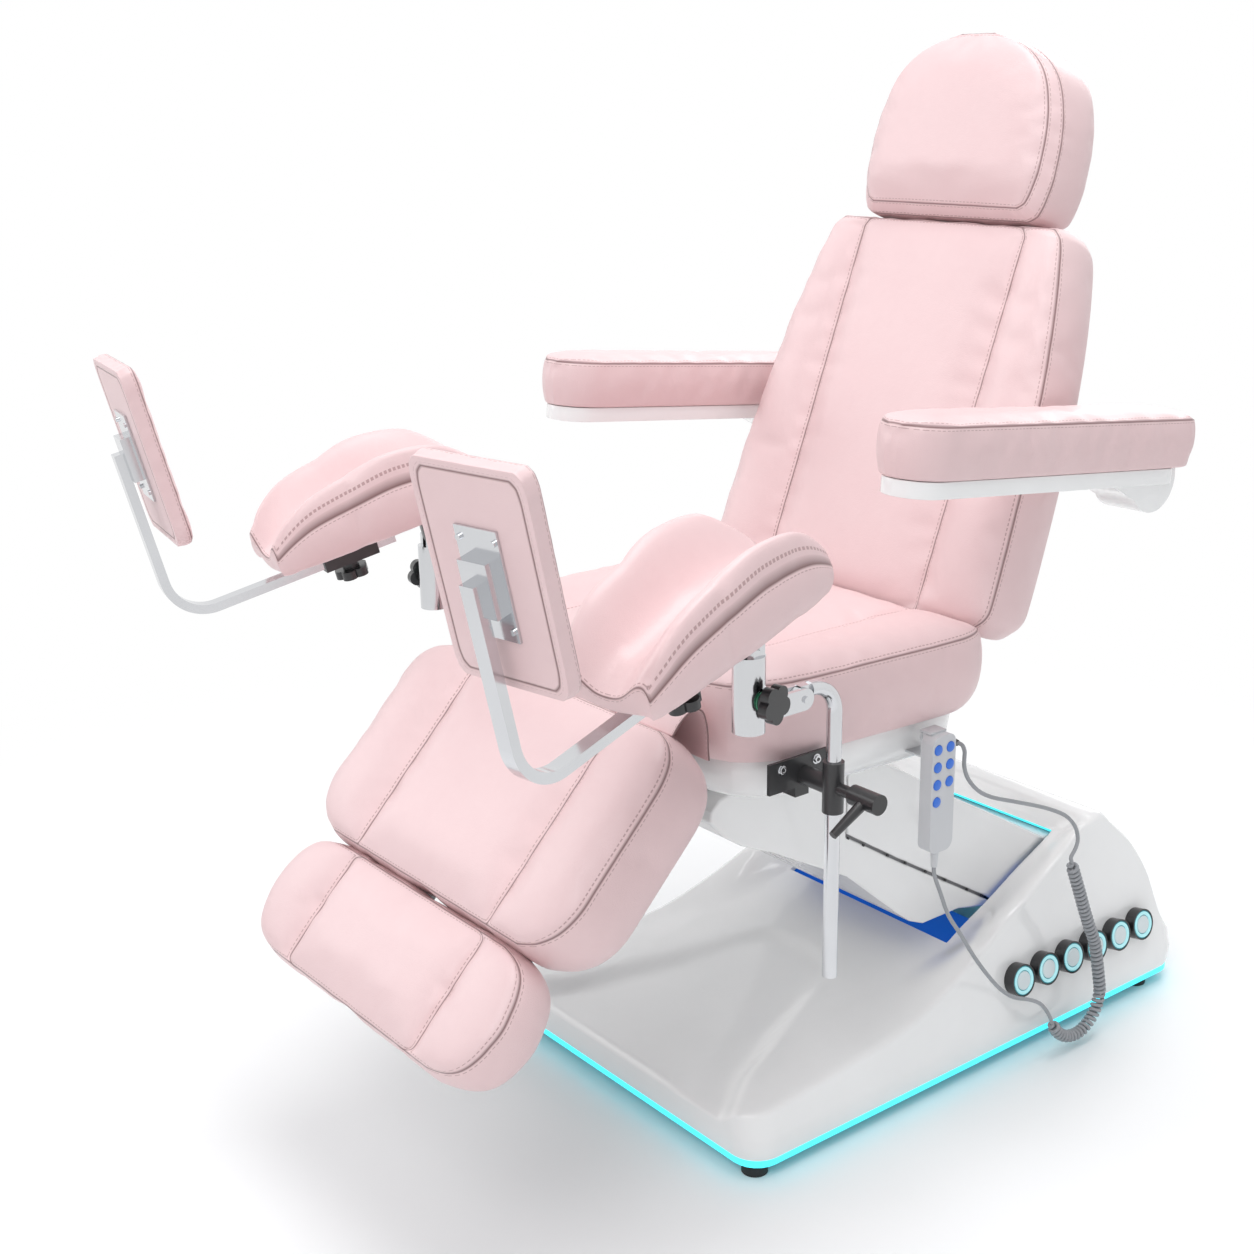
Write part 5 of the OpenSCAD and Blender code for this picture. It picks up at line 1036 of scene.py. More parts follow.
@dataclass(frozen=True)
class Layout:
    """Where the chair's sections stand, in mm and degrees."""

    seat_seam: Point = (0, -25, 724)
    back_recline: float = 21.4
    back_foot: Point = (0, 426, 715)
    head_tilt: float = 15.0
    head_up: float = 600.0
    head_ahead: float = 14.0
    arm_x: float = 360.0
    arm_seam: tuple[float, float] = (163, 1055)
    arm_fall: float = 6.0
    leg_slope: float = 46.0
    calf_edge: Point = (0, -115, 685)
    calf_length: float = 314.0
    foot_length: float = 172.0
    foot_gap: float = 10.0
    foot_shift: float = 9.0
    support: Point = (355, -71, 818)
    toe_out: float = 10.3
    pad_slope: float = 13.8
    bracket: Point = (0, 5.5, 22)
    leg_seat: Point = (0, 87, 22)

    def turned(self, at: Point, degrees: float) -> Matrix:
        """A place turned about X."""
        return Matrix.Translation(at) @ Matrix.Rotation(math.radians(degrees), 4, "X")

    def seat(self) -> Matrix:
        """The seat cushion's front edge."""
        return self.turned(self.seat_seam, 0)

    def back(self) -> Matrix:
        """The back cushion's foot."""
        return self.turned(self.back_foot, 90 - self.back_recline)

    def head(self) -> Matrix:
        """The headrest's foot, head_up along the backrest and head_ahead out of its face.

        Returns:
            Its place.
        """
        a = math.radians(self.back_recline)
        up, ahead = self.head_up, self.head_ahead
        at = (0, self.back_foot[1] + up * math.sin(a) - ahead * math.cos(a),
              self.back_foot[2] + up * math.cos(a) + ahead * math.sin(a))
        return self.turned(at, 90 - self.head_tilt)

    def calf(self) -> Matrix:
        """The calf cushion's lower edge."""
        there = self.turned(self.calf_edge, self.leg_slope)
        return there @ Matrix.Translation((0, -self.calf_length, 0))

    def foot(self) -> Matrix:
        """The foot cushion's lower edge."""
        back = -self.foot_gap - self.foot_length
        return self.calf() @ Matrix.Translation((0, back, -self.foot_shift))

    def armrest(self, side: int) -> Matrix:
        """An armrest's front end."""
        return mirrored(side) @ self.turned((self.arm_x, *self.arm_seam), -self.arm_fall)

    def pad(self, side: int) -> Matrix:
        """A leg pad's bracket: turned out about the support tube, and leaned back.

        Args:
            side: LEFT or RIGHT.

        Returns:
            Where it stands.
        """
        return (mirrored(side) @ Matrix.Translation(self.support)
                @ Matrix.Rotation(math.radians(self.toe_out), 4, "Z")
                @ Matrix.Rotation(math.radians(self.pad_slope), 4, "X")
                @ Matrix.Translation(self.bracket))


class Upholstery:
    """Every cushion and pad of the chair."""

    SEAT = PadSize(446, 310, 112, 15, SEAT_ROWS, channel=160)
    BACK = PadSize(578, 297, 98, 15, BACK_ROWS, channel=160)
    CALF = PadSize(314, 296, 104, 15, CALF_ROWS, channel=160)
    FOOT = PadSize(172, 280, 75, 15, FOOT_ROWS, channel=160, steps=9)
    HEAD = PadSize(252, 168, 106, 15, HEAD_ROWS, bulge=2, tuck=6, steps=9, flare=16, pucker=0.4)
    ARM = PadSize(562, 50, 68, 11, ARM_ROWS, bulge=2.5, tuck=4, rises=(1, 0.98, 0.86, 0.5, 0), fill=0.8,
                  pucker=0.15)
    LEG = PadSize(338, 85, 22, 120, LEG_ROWS, bulge=0, tuck=28, tuck_share=0.9, fill=0.8, steps=10,
                  pucker=0.1, rises=(0.42, 0.44, 0.58, 0.84, 0.98, 1, 0.87, 0.6),
                  places=(0, 0.2, 0.4, 0.62, 0.76, 0.86, 0.95, 1))
    PLATE = PadSize(250, 82, 20, 5, PLATE_ROWS, bulge=1.2, tuck=0, fill=0.8, steps=10, pucker=0.15,
                    back_seam=10, rises=(1, 0.97, 0.9, 0.7, 0))
    # From the pad's bracket to the foot plate's cushion, in mm.
    BAR_REACH, BAR_HALF, SPACER, MOUNT, GAP = 398, 6.5, 14, 3, 0.3
    PLATE_DEPTH = BAR_REACH - BAR_HALF - SPACER - MOUNT - GAP - PLATE.thick
    PLATE_TOP = 121 + PLATE.length
    FIRM, THIN = 4.0, 3.0  # how far a firm cover may swell, and a foot plate's, in mm
    # The brackets among the cushions' solids: the metres that they fit in, and their rounding in mm.
    HEAD_BRACKET_WIDE, LEG_BRACKET_HIGH, BRACKET_ROUND = 0.2, 0.1, 1.2

    def __init__(self, shop: Workshop, layout: Layout) -> None:
        """Notes where the sections stand."""
        self.shop, self.layout = shop, layout

    def _cushion(self, name: str, body: str, source: str, size: PadSize, matrix: Matrix,
                 cap: float = 7.0, flat: bool = False) -> None:
        """Builds one cushion.

        Args:
            name: The piece's name.
            body: The body that it rides on.
            source: The CAD node that it replaces.
            size: Its size.
            matrix: Where it stands.
            cap: How far its cover may swell, in mm.
            flat: Whether its wall stops at the level of its seam.
        """
        obj = Pad(self.shop, name, size).make(matrix, cap, flat)
        self.shop.fitted(obj, body, Slot.LEATHER, source)

    def make(self) -> None:
        """Builds all of it."""
        p = self.layout
        for name, body, source, size, matrix in (
                ("seat_pad", "seat", "seat_cushion", self.SEAT, p.seat()),
                ("back_pad", "back", "back_cushion", self.BACK, p.back()),
                ("calf_pad", "leg_rest", "calf_cushion", self.CALF, p.calf()),
                ("foot_cushion_pad", "foot_section", "foot_cushion", self.FOOT, p.foot()),
                ("head_pad", "headrest", "headrest_cushion", self.HEAD, p.head())):
            self._cushion(name, body, source, size, matrix)
        bracket = self.shop.softened("head_bracket", "headrest_cushion", 0,
                                     island=lambda q: np.ptp(q[:, 0]) < self.HEAD_BRACKET_WIDE)
        self.shop.fitted(bracket, "headrest", Slot.WHITE_METAL)
        for side in (LEFT, RIGHT):
            self._limbs(side)

    def _limbs(self, side: int) -> None:
        """The armrest's pad, the leg pad with its bracket, and the foot plate's cushion.

        Args:
            side: LEFT or RIGHT.
        """
        name, p = SIDE_NAME[side], self.layout
        self._cushion("arm_pad_" + name, "armrest_" + name, "armrest_pad_" + name, self.ARM,
                      p.armrest(side), self.FIRM)
        place = p.pad(side) @ Matrix.Translation(p.leg_seat) @ Matrix.Rotation(math.pi, 4, "Z")
        self._cushion("leg_support_" + name, "legpad_" + name, "leg_pad_" + name, self.LEG, place,
                      self.FIRM, True)
        bracket = self.shop.softened("leg_bracket_" + name, "leg_pad_" + name, self.BRACKET_ROUND, 2,
                                     island=lambda q: np.ptp(q[:, 2]) < self.LEG_BRACKET_HIGH)
        self.shop.fitted(bracket, "legpad_" + name, Slot.BLACK_METAL)
        place = (p.pad(side) @ Matrix.Translation((0, -self.PLATE_DEPTH, self.PLATE_TOP))
                 @ Matrix.Rotation(-QUARTER_TURN, 4, "X"))
        self._cushion("plate_" + name, "footbar_" + name, "foot_pad_" + name, self.PLATE, place,
                      self.THIN)


# ---- Base ------------------------------------------------------------------------------------


Table = tuple[tuple[float, float], ...]


@dataclass(frozen=True)
class BaseSize:
    """The base's driving sizes in mm and its tables of shares.

    Each table pairs a share of a stretch of the length with a share of the hump's height or of
    the half width. Flank is the top's height at the sides, middle its height on the middle line.
    """

    half: float = 290
    length: float = 965
    skirt: float = 30
    plinth: float = 60
    hump: float = 325
    corner: float = 45
    lean: float = 0.2
    well_front: float = 505
    well_length: float = 252
    well_half: float = 178
    wall: float = 5
    edge_in: float = 14
    edge_drop: float = 8
    rise: float = 72
    rim: float = 27
    dish_side: float = 40
    dish_end: float = 25
    foot_rings: Table = ((0.4, 46), (1.6, 35))
    foot_in: float = 3
    button_at: tuple[float, float] = (554, 128)
    button_step: float = 59.4
    button_gap: float = 0.1
    buttons: int = 6
    flank_front: Table = ((0, 0.308), (0.113, 0.326), (0.345, 0.354), (0.59, 0.391), (0.768, 0.465),
                          (0.949, 0.578), (1, 0.61))
    flank_well: Table = ((0.111, 0.658), (0.341, 0.732), (0.516, 0.8), (0.722, 0.88), (1, 0.985))
    middle_front: Table = ((0, 0.308), (0.745, 0.44), (0.891, 0.477), (1, 0.511))
    middle_well: Table = ((0.1, 0.551), (0.369, 0.649), (0.663, 0.766), (0.9, 0.852), (1, 0.895))
    rear: Table = ((0.087, 0.985), (0.2, 1), (0.3, 0.94), (0.49, 0.822), (0.61, 0.708), (0.683, 0.606),
                   (0.736, 0.48), (0.78, 0.391), (0.92, 0.283), (1, 0.265))
    dish_half: Table = ((0, 0.81), (0.158, 0.628), (0.23, 0.579), (0.384, 0.462), (0.529, 0.376),
                        (0.642, 0.31), (0.717, 0.2), (0.745, 0.05))
    dish_depth: Table = ((0, 0.068), (0.158, 0.055), (0.384, 0.043), (0.594, 0.028), (0.745, 0.02))


class Base:
    """The moulded base with its well, lights and push buttons."""

    WELL_HALF_COLUMNS = 14
    RIM_COLUMNS, FLANK_COLUMNS, EDGE_COLUMNS = 6, 9, 6
    CORNER_ROWS, FRONT_ROWS, WELL_ROWS, REAR_ROWS = 12, 60, 34, 40
    FLANK_STEPS = (0.04, 0.15, 0.35, 0.6, 0.85, 1)
    # Radius and height over the housing's seat, in mm.
    CAP = ((0, 6), (14.6, 6), (14.6, 17.6), (14.2, 18.2), (12.6, 18.6), (8, 18.9), (0, 19))
    RING = ((15.8, 6), (21.4, 6), (21.4, 17.8), (20.8, 18.7), (19.2, 19.2), (17.6, 18.9), (16.4, 18.2),
            (15.8, 17.4), (15.8, 6))
    EDGE = ((14.7, 5.9), (22.9, 5.9), (22.9, 17.5), (22.4, 18), (21.5, 17.6), (21.5, 16.8),
            (14.7, 16.8), (14.7, 5.9))

    def __init__(self, shop: Workshop, size: BaseSize) -> None:
        """Turns the tables of shares into millimetres.

        Args:
            shop: Makes the pieces.
            size: The base's sizes.
        """
        self.shop, self.size = shop, size
        s = size
        self.well_rear = s.well_front + s.well_length
        tail = self._stretch(s.rear, self.well_rear, s.length - self.well_rear, s.hump)
        self.flank, self.middle = (
            self._stretch(front, 0, s.well_front, s.hump)
            + self._stretch(well, s.well_front, s.well_length, s.hump) + tail
            for front, well in ((s.flank_front, s.flank_well), (s.middle_front, s.middle_well)))
        self.dish_half = self._stretch(s.dish_half, 0, s.well_front, s.half)
        self.dish_depth = self._stretch(s.dish_depth, 0, s.well_front, s.hump)

    @staticmethod
    def _stretch(table: Table, start: float, length: float, height: float) -> list[tuple[float, float]]:
        """A table of shares in mm: start + length * share along, height * share up or across."""
        return [(start + length * a, height * b) for a, b in table]

    @staticmethod
    def _read(table: list[tuple[float, float]], y: np.ndarray) -> np.ndarray:
        """A table's smooth curve, read at y."""
        return curve_through(*zip(*table), y)

    def plan(self, y: np.ndarray) -> np.ndarray:
        """Half width of the base at its foot: straight, with a quarter circle at each corner."""
        s = self.size
        u = np.maximum(0, 1 - np.minimum(y, s.length - y) / s.corner)
        return s.half - s.corner * (1 - np.sqrt(np.maximum(0, 1 - u * u)))

    def top_half(self, y: np.ndarray) -> np.ndarray:
        """Half width of the base at its upper edge, which leans in by a share of its height."""
        s = self.size
        return self.plan(y) - s.lean * (self._read(self.flank, y) - s.edge_drop - s.plinth)

    def height(self, x: np.ndarray, y: np.ndarray) -> np.ndarray:
        """Height of the top before its edges are rounded.

        A smooth step leads from the middle's curve to the flank's, and the dish is sunk into it,
        with another smooth step at its sides and at its rear.

        Args:
            x: Places across.
            y: Places along, from the front edge.

        Returns:
            The heights in mm.
        """
        s = self.size
        m, f = self._read(self.middle, y), self._read(self.flank, y)
        z = m + (f - m) * eased((np.abs(x) - s.well_half) / s.rise)
        inside = eased((self._read(self.dish_half, y) - np.abs(x)) / s.dish_side + 0.5)
        dish = self._read(self.dish_depth, y) * inside
        end = self.dish_half[-1][0]
        return z - dish * (1 - eased((y - end + s.dish_end) / s.dish_end))

    def _top(self, ys: np.ndarray) -> np.ndarray:
        """The grid of the top: columns over the well, its rim, the flank and the round edge.

        Args:
            ys: Where the rows stand, from the front edge.

        Returns:
            The points in mm, by row and column.
        """
        s = self.size
        share = np.linspace(0, 1, self.WELL_HALF_COLUMNS + 1)
        band, flank = (np.linspace(0, 1, k)[1:] for k in (self.RIM_COLUMNS, self.FLANK_COLUMNS))
        turn = 1 - np.sin(np.linspace(0, QUARTER_TURN, self.EDGE_COLUMNS)[1:])
        b = s.well_half + s.rim
        top = []
        for y in ys:
            w = float(self.top_half(np.array(y)))
            x = np.concatenate([s.well_half * share, s.well_half + s.rim * band,
                                b + (w - s.edge_in - b) * flank, w - s.edge_in * turn])
            z = self.height(x, np.full_like(x, y))
            near = np.minimum(w - x, min(y, s.length - y))
            z = z - s.edge_drop * (1 - quarter(near / s.edge_in))
            row = np.column_stack([x, np.full_like(x, y), z])
            top.append(np.concatenate([row[:0:-1] * (-1, 1, 1), row]))
        return np.array(top)

    def make_shell(self) -> None:
        """The shell: a fine grid over its top, its flanks, the well's rim and an inner skin.

        The inner skin is the top's grid, drawn in and down by the wall. The flanks are rings from
        the top's outline, carried step by step to the foot and back up inside.
        """
        s = self.size
        corner = s.corner * (1 - np.cos(np.linspace(0, QUARTER_TURN, self.CORNER_ROWS)))
        stops = (s.corner, s.well_front, self.well_rear, s.length - s.corner)
        counts = (self.FRONT_ROWS, self.WELL_ROWS, self.REAR_ROWS)
        ys = np.concatenate([corner, *(np.linspace(a, b, k)[1:] for a, b, k in
                                       zip(stops, stops[1:], counts)), (s.length - corner)[::-1][1:]])
        grid = self._top(ys)
        m, n = grid.shape[:2]
        mid = (n - 1) // 2
        low, high = mid - self.WELL_HALF_COLUMNS, mid + self.WELL_HALF_COLUMNS
        first, final = (int(np.argmin(np.abs(ys - y))) for y in (s.well_front, self.well_rear))
        inner = grid.copy()
        w = self.top_half(grid[..., 1])
        half = s.length / 2
        inner[..., 0] *= (w - s.wall) / w
        inner[..., 1] = half + (grid[..., 1] - half) * (1 - s.wall / half)
        inner[..., 2] -= s.wall
        loop = border(0, m - 1, 0, n - 1)
        edge = np.array([grid[e] for e in loop])
        foot = self.plan(edge[:, 1]) / self.top_half(edge[:, 1])

        def ring(inset: float, z: float, t: float = 1) -> np.ndarray:
            """The outline on its way to the foot.

            Args:
                inset: How far the foot is drawn in all round.
                z: The foot's height.
                t: The share of the way.

            Returns:
                The ring's points.
            """
            x = edge[:, 0] * foot * (1 - inset / s.half)
            return np.column_stack([edge[:, 0] + (x - edge[:, 0]) * t,
                                    half + (edge[:, 1] - half) * (1 - inset / half * t),
                                    edge[:, 2] + (z - edge[:, 2]) * t])

        rings = [ring(0, s.plinth, t) for t in self.FLANK_STEPS]
        rings += [ring(inset, z) for inset, z in (
            *s.foot_rings, (s.foot_in, s.skirt), (s.foot_in + s.wall, s.skirt),
            (s.foot_in + s.wall, s.plinth))]
        k, o = len(loop), m * n

        def in_well(r: int, c: int) -> bool:
            """Whether a face of the top lies over the well."""
            return first <= r < final and low <= c < high

        faces = sheet_faces(m, n, 0, in_well) + sheet_faces(m, n, o, in_well, True)
        outline = np.array([r * n + c for r, c in loop])
        chain = [outline, *(2 * o + g * k + np.arange(k) for g in range(len(rings))), o + outline]
        for a, b in zip(chain, chain[1:]):
            faces += band_faces(a, b)
        hole = np.array([r * n + c for r, c in border(first, final, low, high)])
        faces += [face[::-1] for face in band_faces(hole, o + hole)]
        points = np.concatenate([grid.reshape(-1, 3), inner.reshape(-1, 3), *rings])
        obj = self.shop.mesh("moulded_shell", placed(points), faces)
        self.shop.shade(obj, 42)
        self.shop.fitted(obj, "base", Slot.SHELL, "base_shell")

    def make_buttons(self) -> None:
        """Ringed push buttons: a silver cap, a pale ring lit from inside and its dark edge."""
        palette, s = self.shop.palette, self.size
        pale = palette.other(Moulding("pale_ring", (0.42, 0.8, 0.84), 0.3, coat=0.3, glow=0.25))
        teal = palette.other(Moulding("teal_edge", (0.02, 0.3, 0.36), 0.35))
        y, z = s.button_at
        for i in range(s.buttons):
            at = (s.half - s.lean * (z - s.plinth), y + s.button_step * i, z)
            m = (Matrix.Translation(at) @ Matrix.Rotation(QUARTER_TURN - math.atan(s.lean), 4, "Y")
                 @ Matrix.Translation((0, 0, s.button_gap)))
            for name, profile, material, nodes in (
                    ("cap", self.CAP, None, (f"base_button_{i + 1}",)),
                    ("ring", self.RING, pale, ()), ("edge", self.EDGE, teal, ())):
                obj = self.shop.lathe(f"button_{name}_{i + 1}", profile, m)
                self.shop.fitted(obj, f"base_key_{i + 1}", Slot.KEY, *nodes, material=material)


# ---- Cord ------------------------------------------------------------------------------------


@dataclass(frozen=True)
class CordRoute:
    """The handset's cord: its route's points in mm, thickness and curls."""

    upper: tuple[Point, ...] = (
        (330, 604, 330), (330, 603, 337), (329, 614, 348), (328, 619, 362), (326, 612, 384),
        (324, 590, 406), (321, 557, 424), (318, 522, 439), (315, 478, 456), (313, 433, 474),
        (312, 404, 492), (311, 384, 514), (312, 374, 534), (313, 372, 548), (313, 372, 558),
        (310, 372, 565), (306, 372, 567.7), (300, 372, 567.7))
    coil: tuple[Point, ...] = (
        (330, 580, 67), (330, 584, 59), (330, 598, 41), (330, 621, 27), (330, 649, 24),
        (330, 674, 35), (330, 691, 57), (330, 696, 78), (330, 693, 98), (330, 676, 167),
        (330, 658, 205), (330, 641, 242), (330, 627, 275), (330, 608, 318), (330, 604, 330))
    lower: tuple[Point, ...] = (
        (325, 304, 408), (325, 304, 401), (325, 307, 390), (326, 318, 364), (327, 335, 325),
        (328, 362, 286), (329, 393, 240), (330, 424, 200), (330, 455, 166), (330, 486, 142),
        (330, 521, 126), (330, 548, 110), (330, 565, 92), (330, 576, 75), (330, 580, 67))
    diameter: float = 6.0
    curl_radius: float = 7.0
    curls: int = 52
    straight: float = 6.0
    curl_points: int = 14
    coil_steps: int = 12
    plain_steps: int = 3
    reach: float = 5.0

    @staticmethod
    def smooth(points: Sequence[Sequence[float]], steps: int) -> np.ndarray:
        """A Catmull-Rom curve: each stretch is a cubic set by its two ends and their neighbours.

        Args:
            points: What the curve runs through.
            steps: Points to a stretch.

        Returns:
            The curve's points.
        """
        v = np.array(points, float)
        n = len(v) - 1
        i = np.arange(n)
        a, b, c, d = (v[np.clip(i + k, 0, n)][:, None] for k in (-1, 0, 1, 2))
        t = (np.arange(steps) / steps)[None, :, None]
        out = 0.5 * (2 * b + (c - a) * t + (2 * a - 5 * b + 4 * c - d) * t * t
                     + (3 * b - a - 3 * c + d) * t ** 3)
        return np.concatenate([out.reshape(-1, v.shape[1]), v[n:]])

    def curly(self) -> np.ndarray:
        """The coil's middle line wound with curls, straight for one diameter at each end.

        Each point stands off the line by the curl's radius, along a direction that turns evenly
        about the line; the radius grows from nothing over the first half curl.

        Returns:
            The points in mm.
        """
        line = self.smooth(self.coil, self.coil_steps)
        run = run_along(line)

        def at(q: np.ndarray) -> np.ndarray:
            """The line's points at distances along it."""
            return np.column_stack([np.interp(q, run, line[:, k]) for k in range(3)])

        total = self.curls * self.curl_points
        count = np.arange(total + 1)
        q = self.straight + (run[-1] - 2 * self.straight) * count / total
        t = at(np.minimum(run[-1], q + self.reach)) - at(np.maximum(0, q - self.reach))
        t /= np.linalg.norm(t, axis=1)[:, None]
        x = np.array([1.0, 0, 0])
        a = 2 * math.pi * count / self.curl_points
        grow = np.clip(np.minimum(count, total - count) / (self.curl_points / 2), 0, 1)
        out = np.cos(a)[:, None] * x + np.sin(a)[:, None] * np.cross(t, x)
        return np.concatenate([line[:1], at(q) + (grow * self.curl_radius)[:, None] * out, line[-1:]])

    def points(self) -> np.ndarray:
        """The whole cord from the gland to the handset."""
        up, low = (self.smooth(line, self.plain_steps)[::-1] for line in (self.upper, self.lower))
        return np.concatenate([up[:-1], self.curly()[::-1][:-1], low])


class Cord:
    """The handset's cord as one line."""

    def __init__(self, shop: Workshop, route: CordRoute) -> None:
        """Notes the cord's route."""
        self.shop, self.route = shop, route

    def make(self) -> None:
        """Builds the cord."""
        pts = placed(self.route.points())
        data = bpy.data.curves.new("handset_cord", "CURVE")
        data.dimensions = "3D"
        data.bevel_depth = self.route.diameter / 2 * MM
        data.bevel_resolution = 3
        data.use_fill_caps = True
        spline = data.splines.new("POLY")
        spline.points.add(len(pts) - 1)
        spline.points.foreach_set("co", np.column_stack([pts, np.ones(len(pts))]).ravel())
        spline.use_smooth = True
        obj = bpy.data.objects.new("handset_cord", data)
        bpy.context.scene.collection.objects.link(obj)
        self.shop.fitted(obj, "seat", Slot.CORD, "cord_lower", "cord_coil", "cord_upper")


# ---- Shells and small pieces -----------------------------------------------------------------


@dataclass(frozen=True)
class SmallSizes:
    """Places and sizes of the covers and of the small pieces on the metalwork, in mm."""

    plate_out: float = 303.0
    bolt_y: tuple[float, float] = (33.0, 94.0)
    bolt_z: float = 615.5
    bolt_head: Table = ((0, 0.2), (6.8, 0.2), (6.8, 0.9), (5.4, 1.1), (5.4, 3.6), (4.7, 4.3), (3, 4.3),
                        (2.6, 4), (2.5, 1.5), (0, 1.5))
    knob_z: float = 751.0
    tube: Point = (355.0, -71.0, 20.5)
    washer_gap: float = 0.25
    washer: Table = ((4.6, -0.05), (12.6, -0.05), (13.2, 0.4), (13.2, 1.7), (12.6, 2.1), (4.6, 2.1))
    seam: Table = ((606, 209), (560, 237), (514, 265), (457, 300), (400, 335), (339, 372), (280, 408))
    split: Table = ((291, 408), (291, 460), (291, 512))
    strip: Table = ((161.5, -7), (163, -7), (163, 7), (161.5, 7))
    mark_shares: tuple[float, ...] = (0.03, 0.14, 0.3, 0.44, 0.58, 0.7, 0.86, 0.96)
    mark: Point = (2.2, 6, 4.2)
    mark_ahead: float = 5.0
    mark_round: float = 0.7
    mark_out: float = 167.1
    cover_side: float = 167.5
    cover_round: float = 5.0
    tray_round: float = 3.0
    case_round: float = 4.0
    flap: Table = ((-99, 676), (-88, 689), (-74, 699), (-60, 702), (-50, 696), (-45, 682), (-42, 664),
                   (-41, 644), (-39, 628))
    flap_half: float = 246.0
    flap_thick: float = 1.6
    flap_columns: int = 61
    flap_wave: Point = (1.6, 0.031, 0.8)
    flap_seam: float = 60.0
    flap_ends: tuple[Point, Point] = ((0, -44, 660), (0, -96, 682))
    pan_rows: int = 30
    pan_ends: tuple[float, float] = (0.012, 0.03)
    pan_columns: int = 11
    pan: Table = ((66, 552), (52, 553), (42, 562), (33, 578), (29.5, 595), (29, 609), (28.4, 611.4),
                  (26, 611.4), (25, 609.5), (25.2, 596), (27, 582), (31, 568), (38, 556), (48, 549.5),
                  (62, 547.7))
    gland_at: Point = (262, 372, 567.7)
    gland: Table = ((0, 0), (8, 0), (8, 12), (9.5, 12.5), (9.5, 17), (8, 17.6), (7, 20), (5.5, 30),
                    (4.6, 37.2), (4, 38), (0, 38))
    keys_at: Point = (336, 304, 587)
    key_step: tuple[float, float] = (24, 25.4)
    keys: int = 7
    key: Table = ((0, -4.5), (7.5, -4.5), (7.5, 0.6), (7.1, 1.2), (5.5, 1.8), (3, 2.1), (0, 2.2))


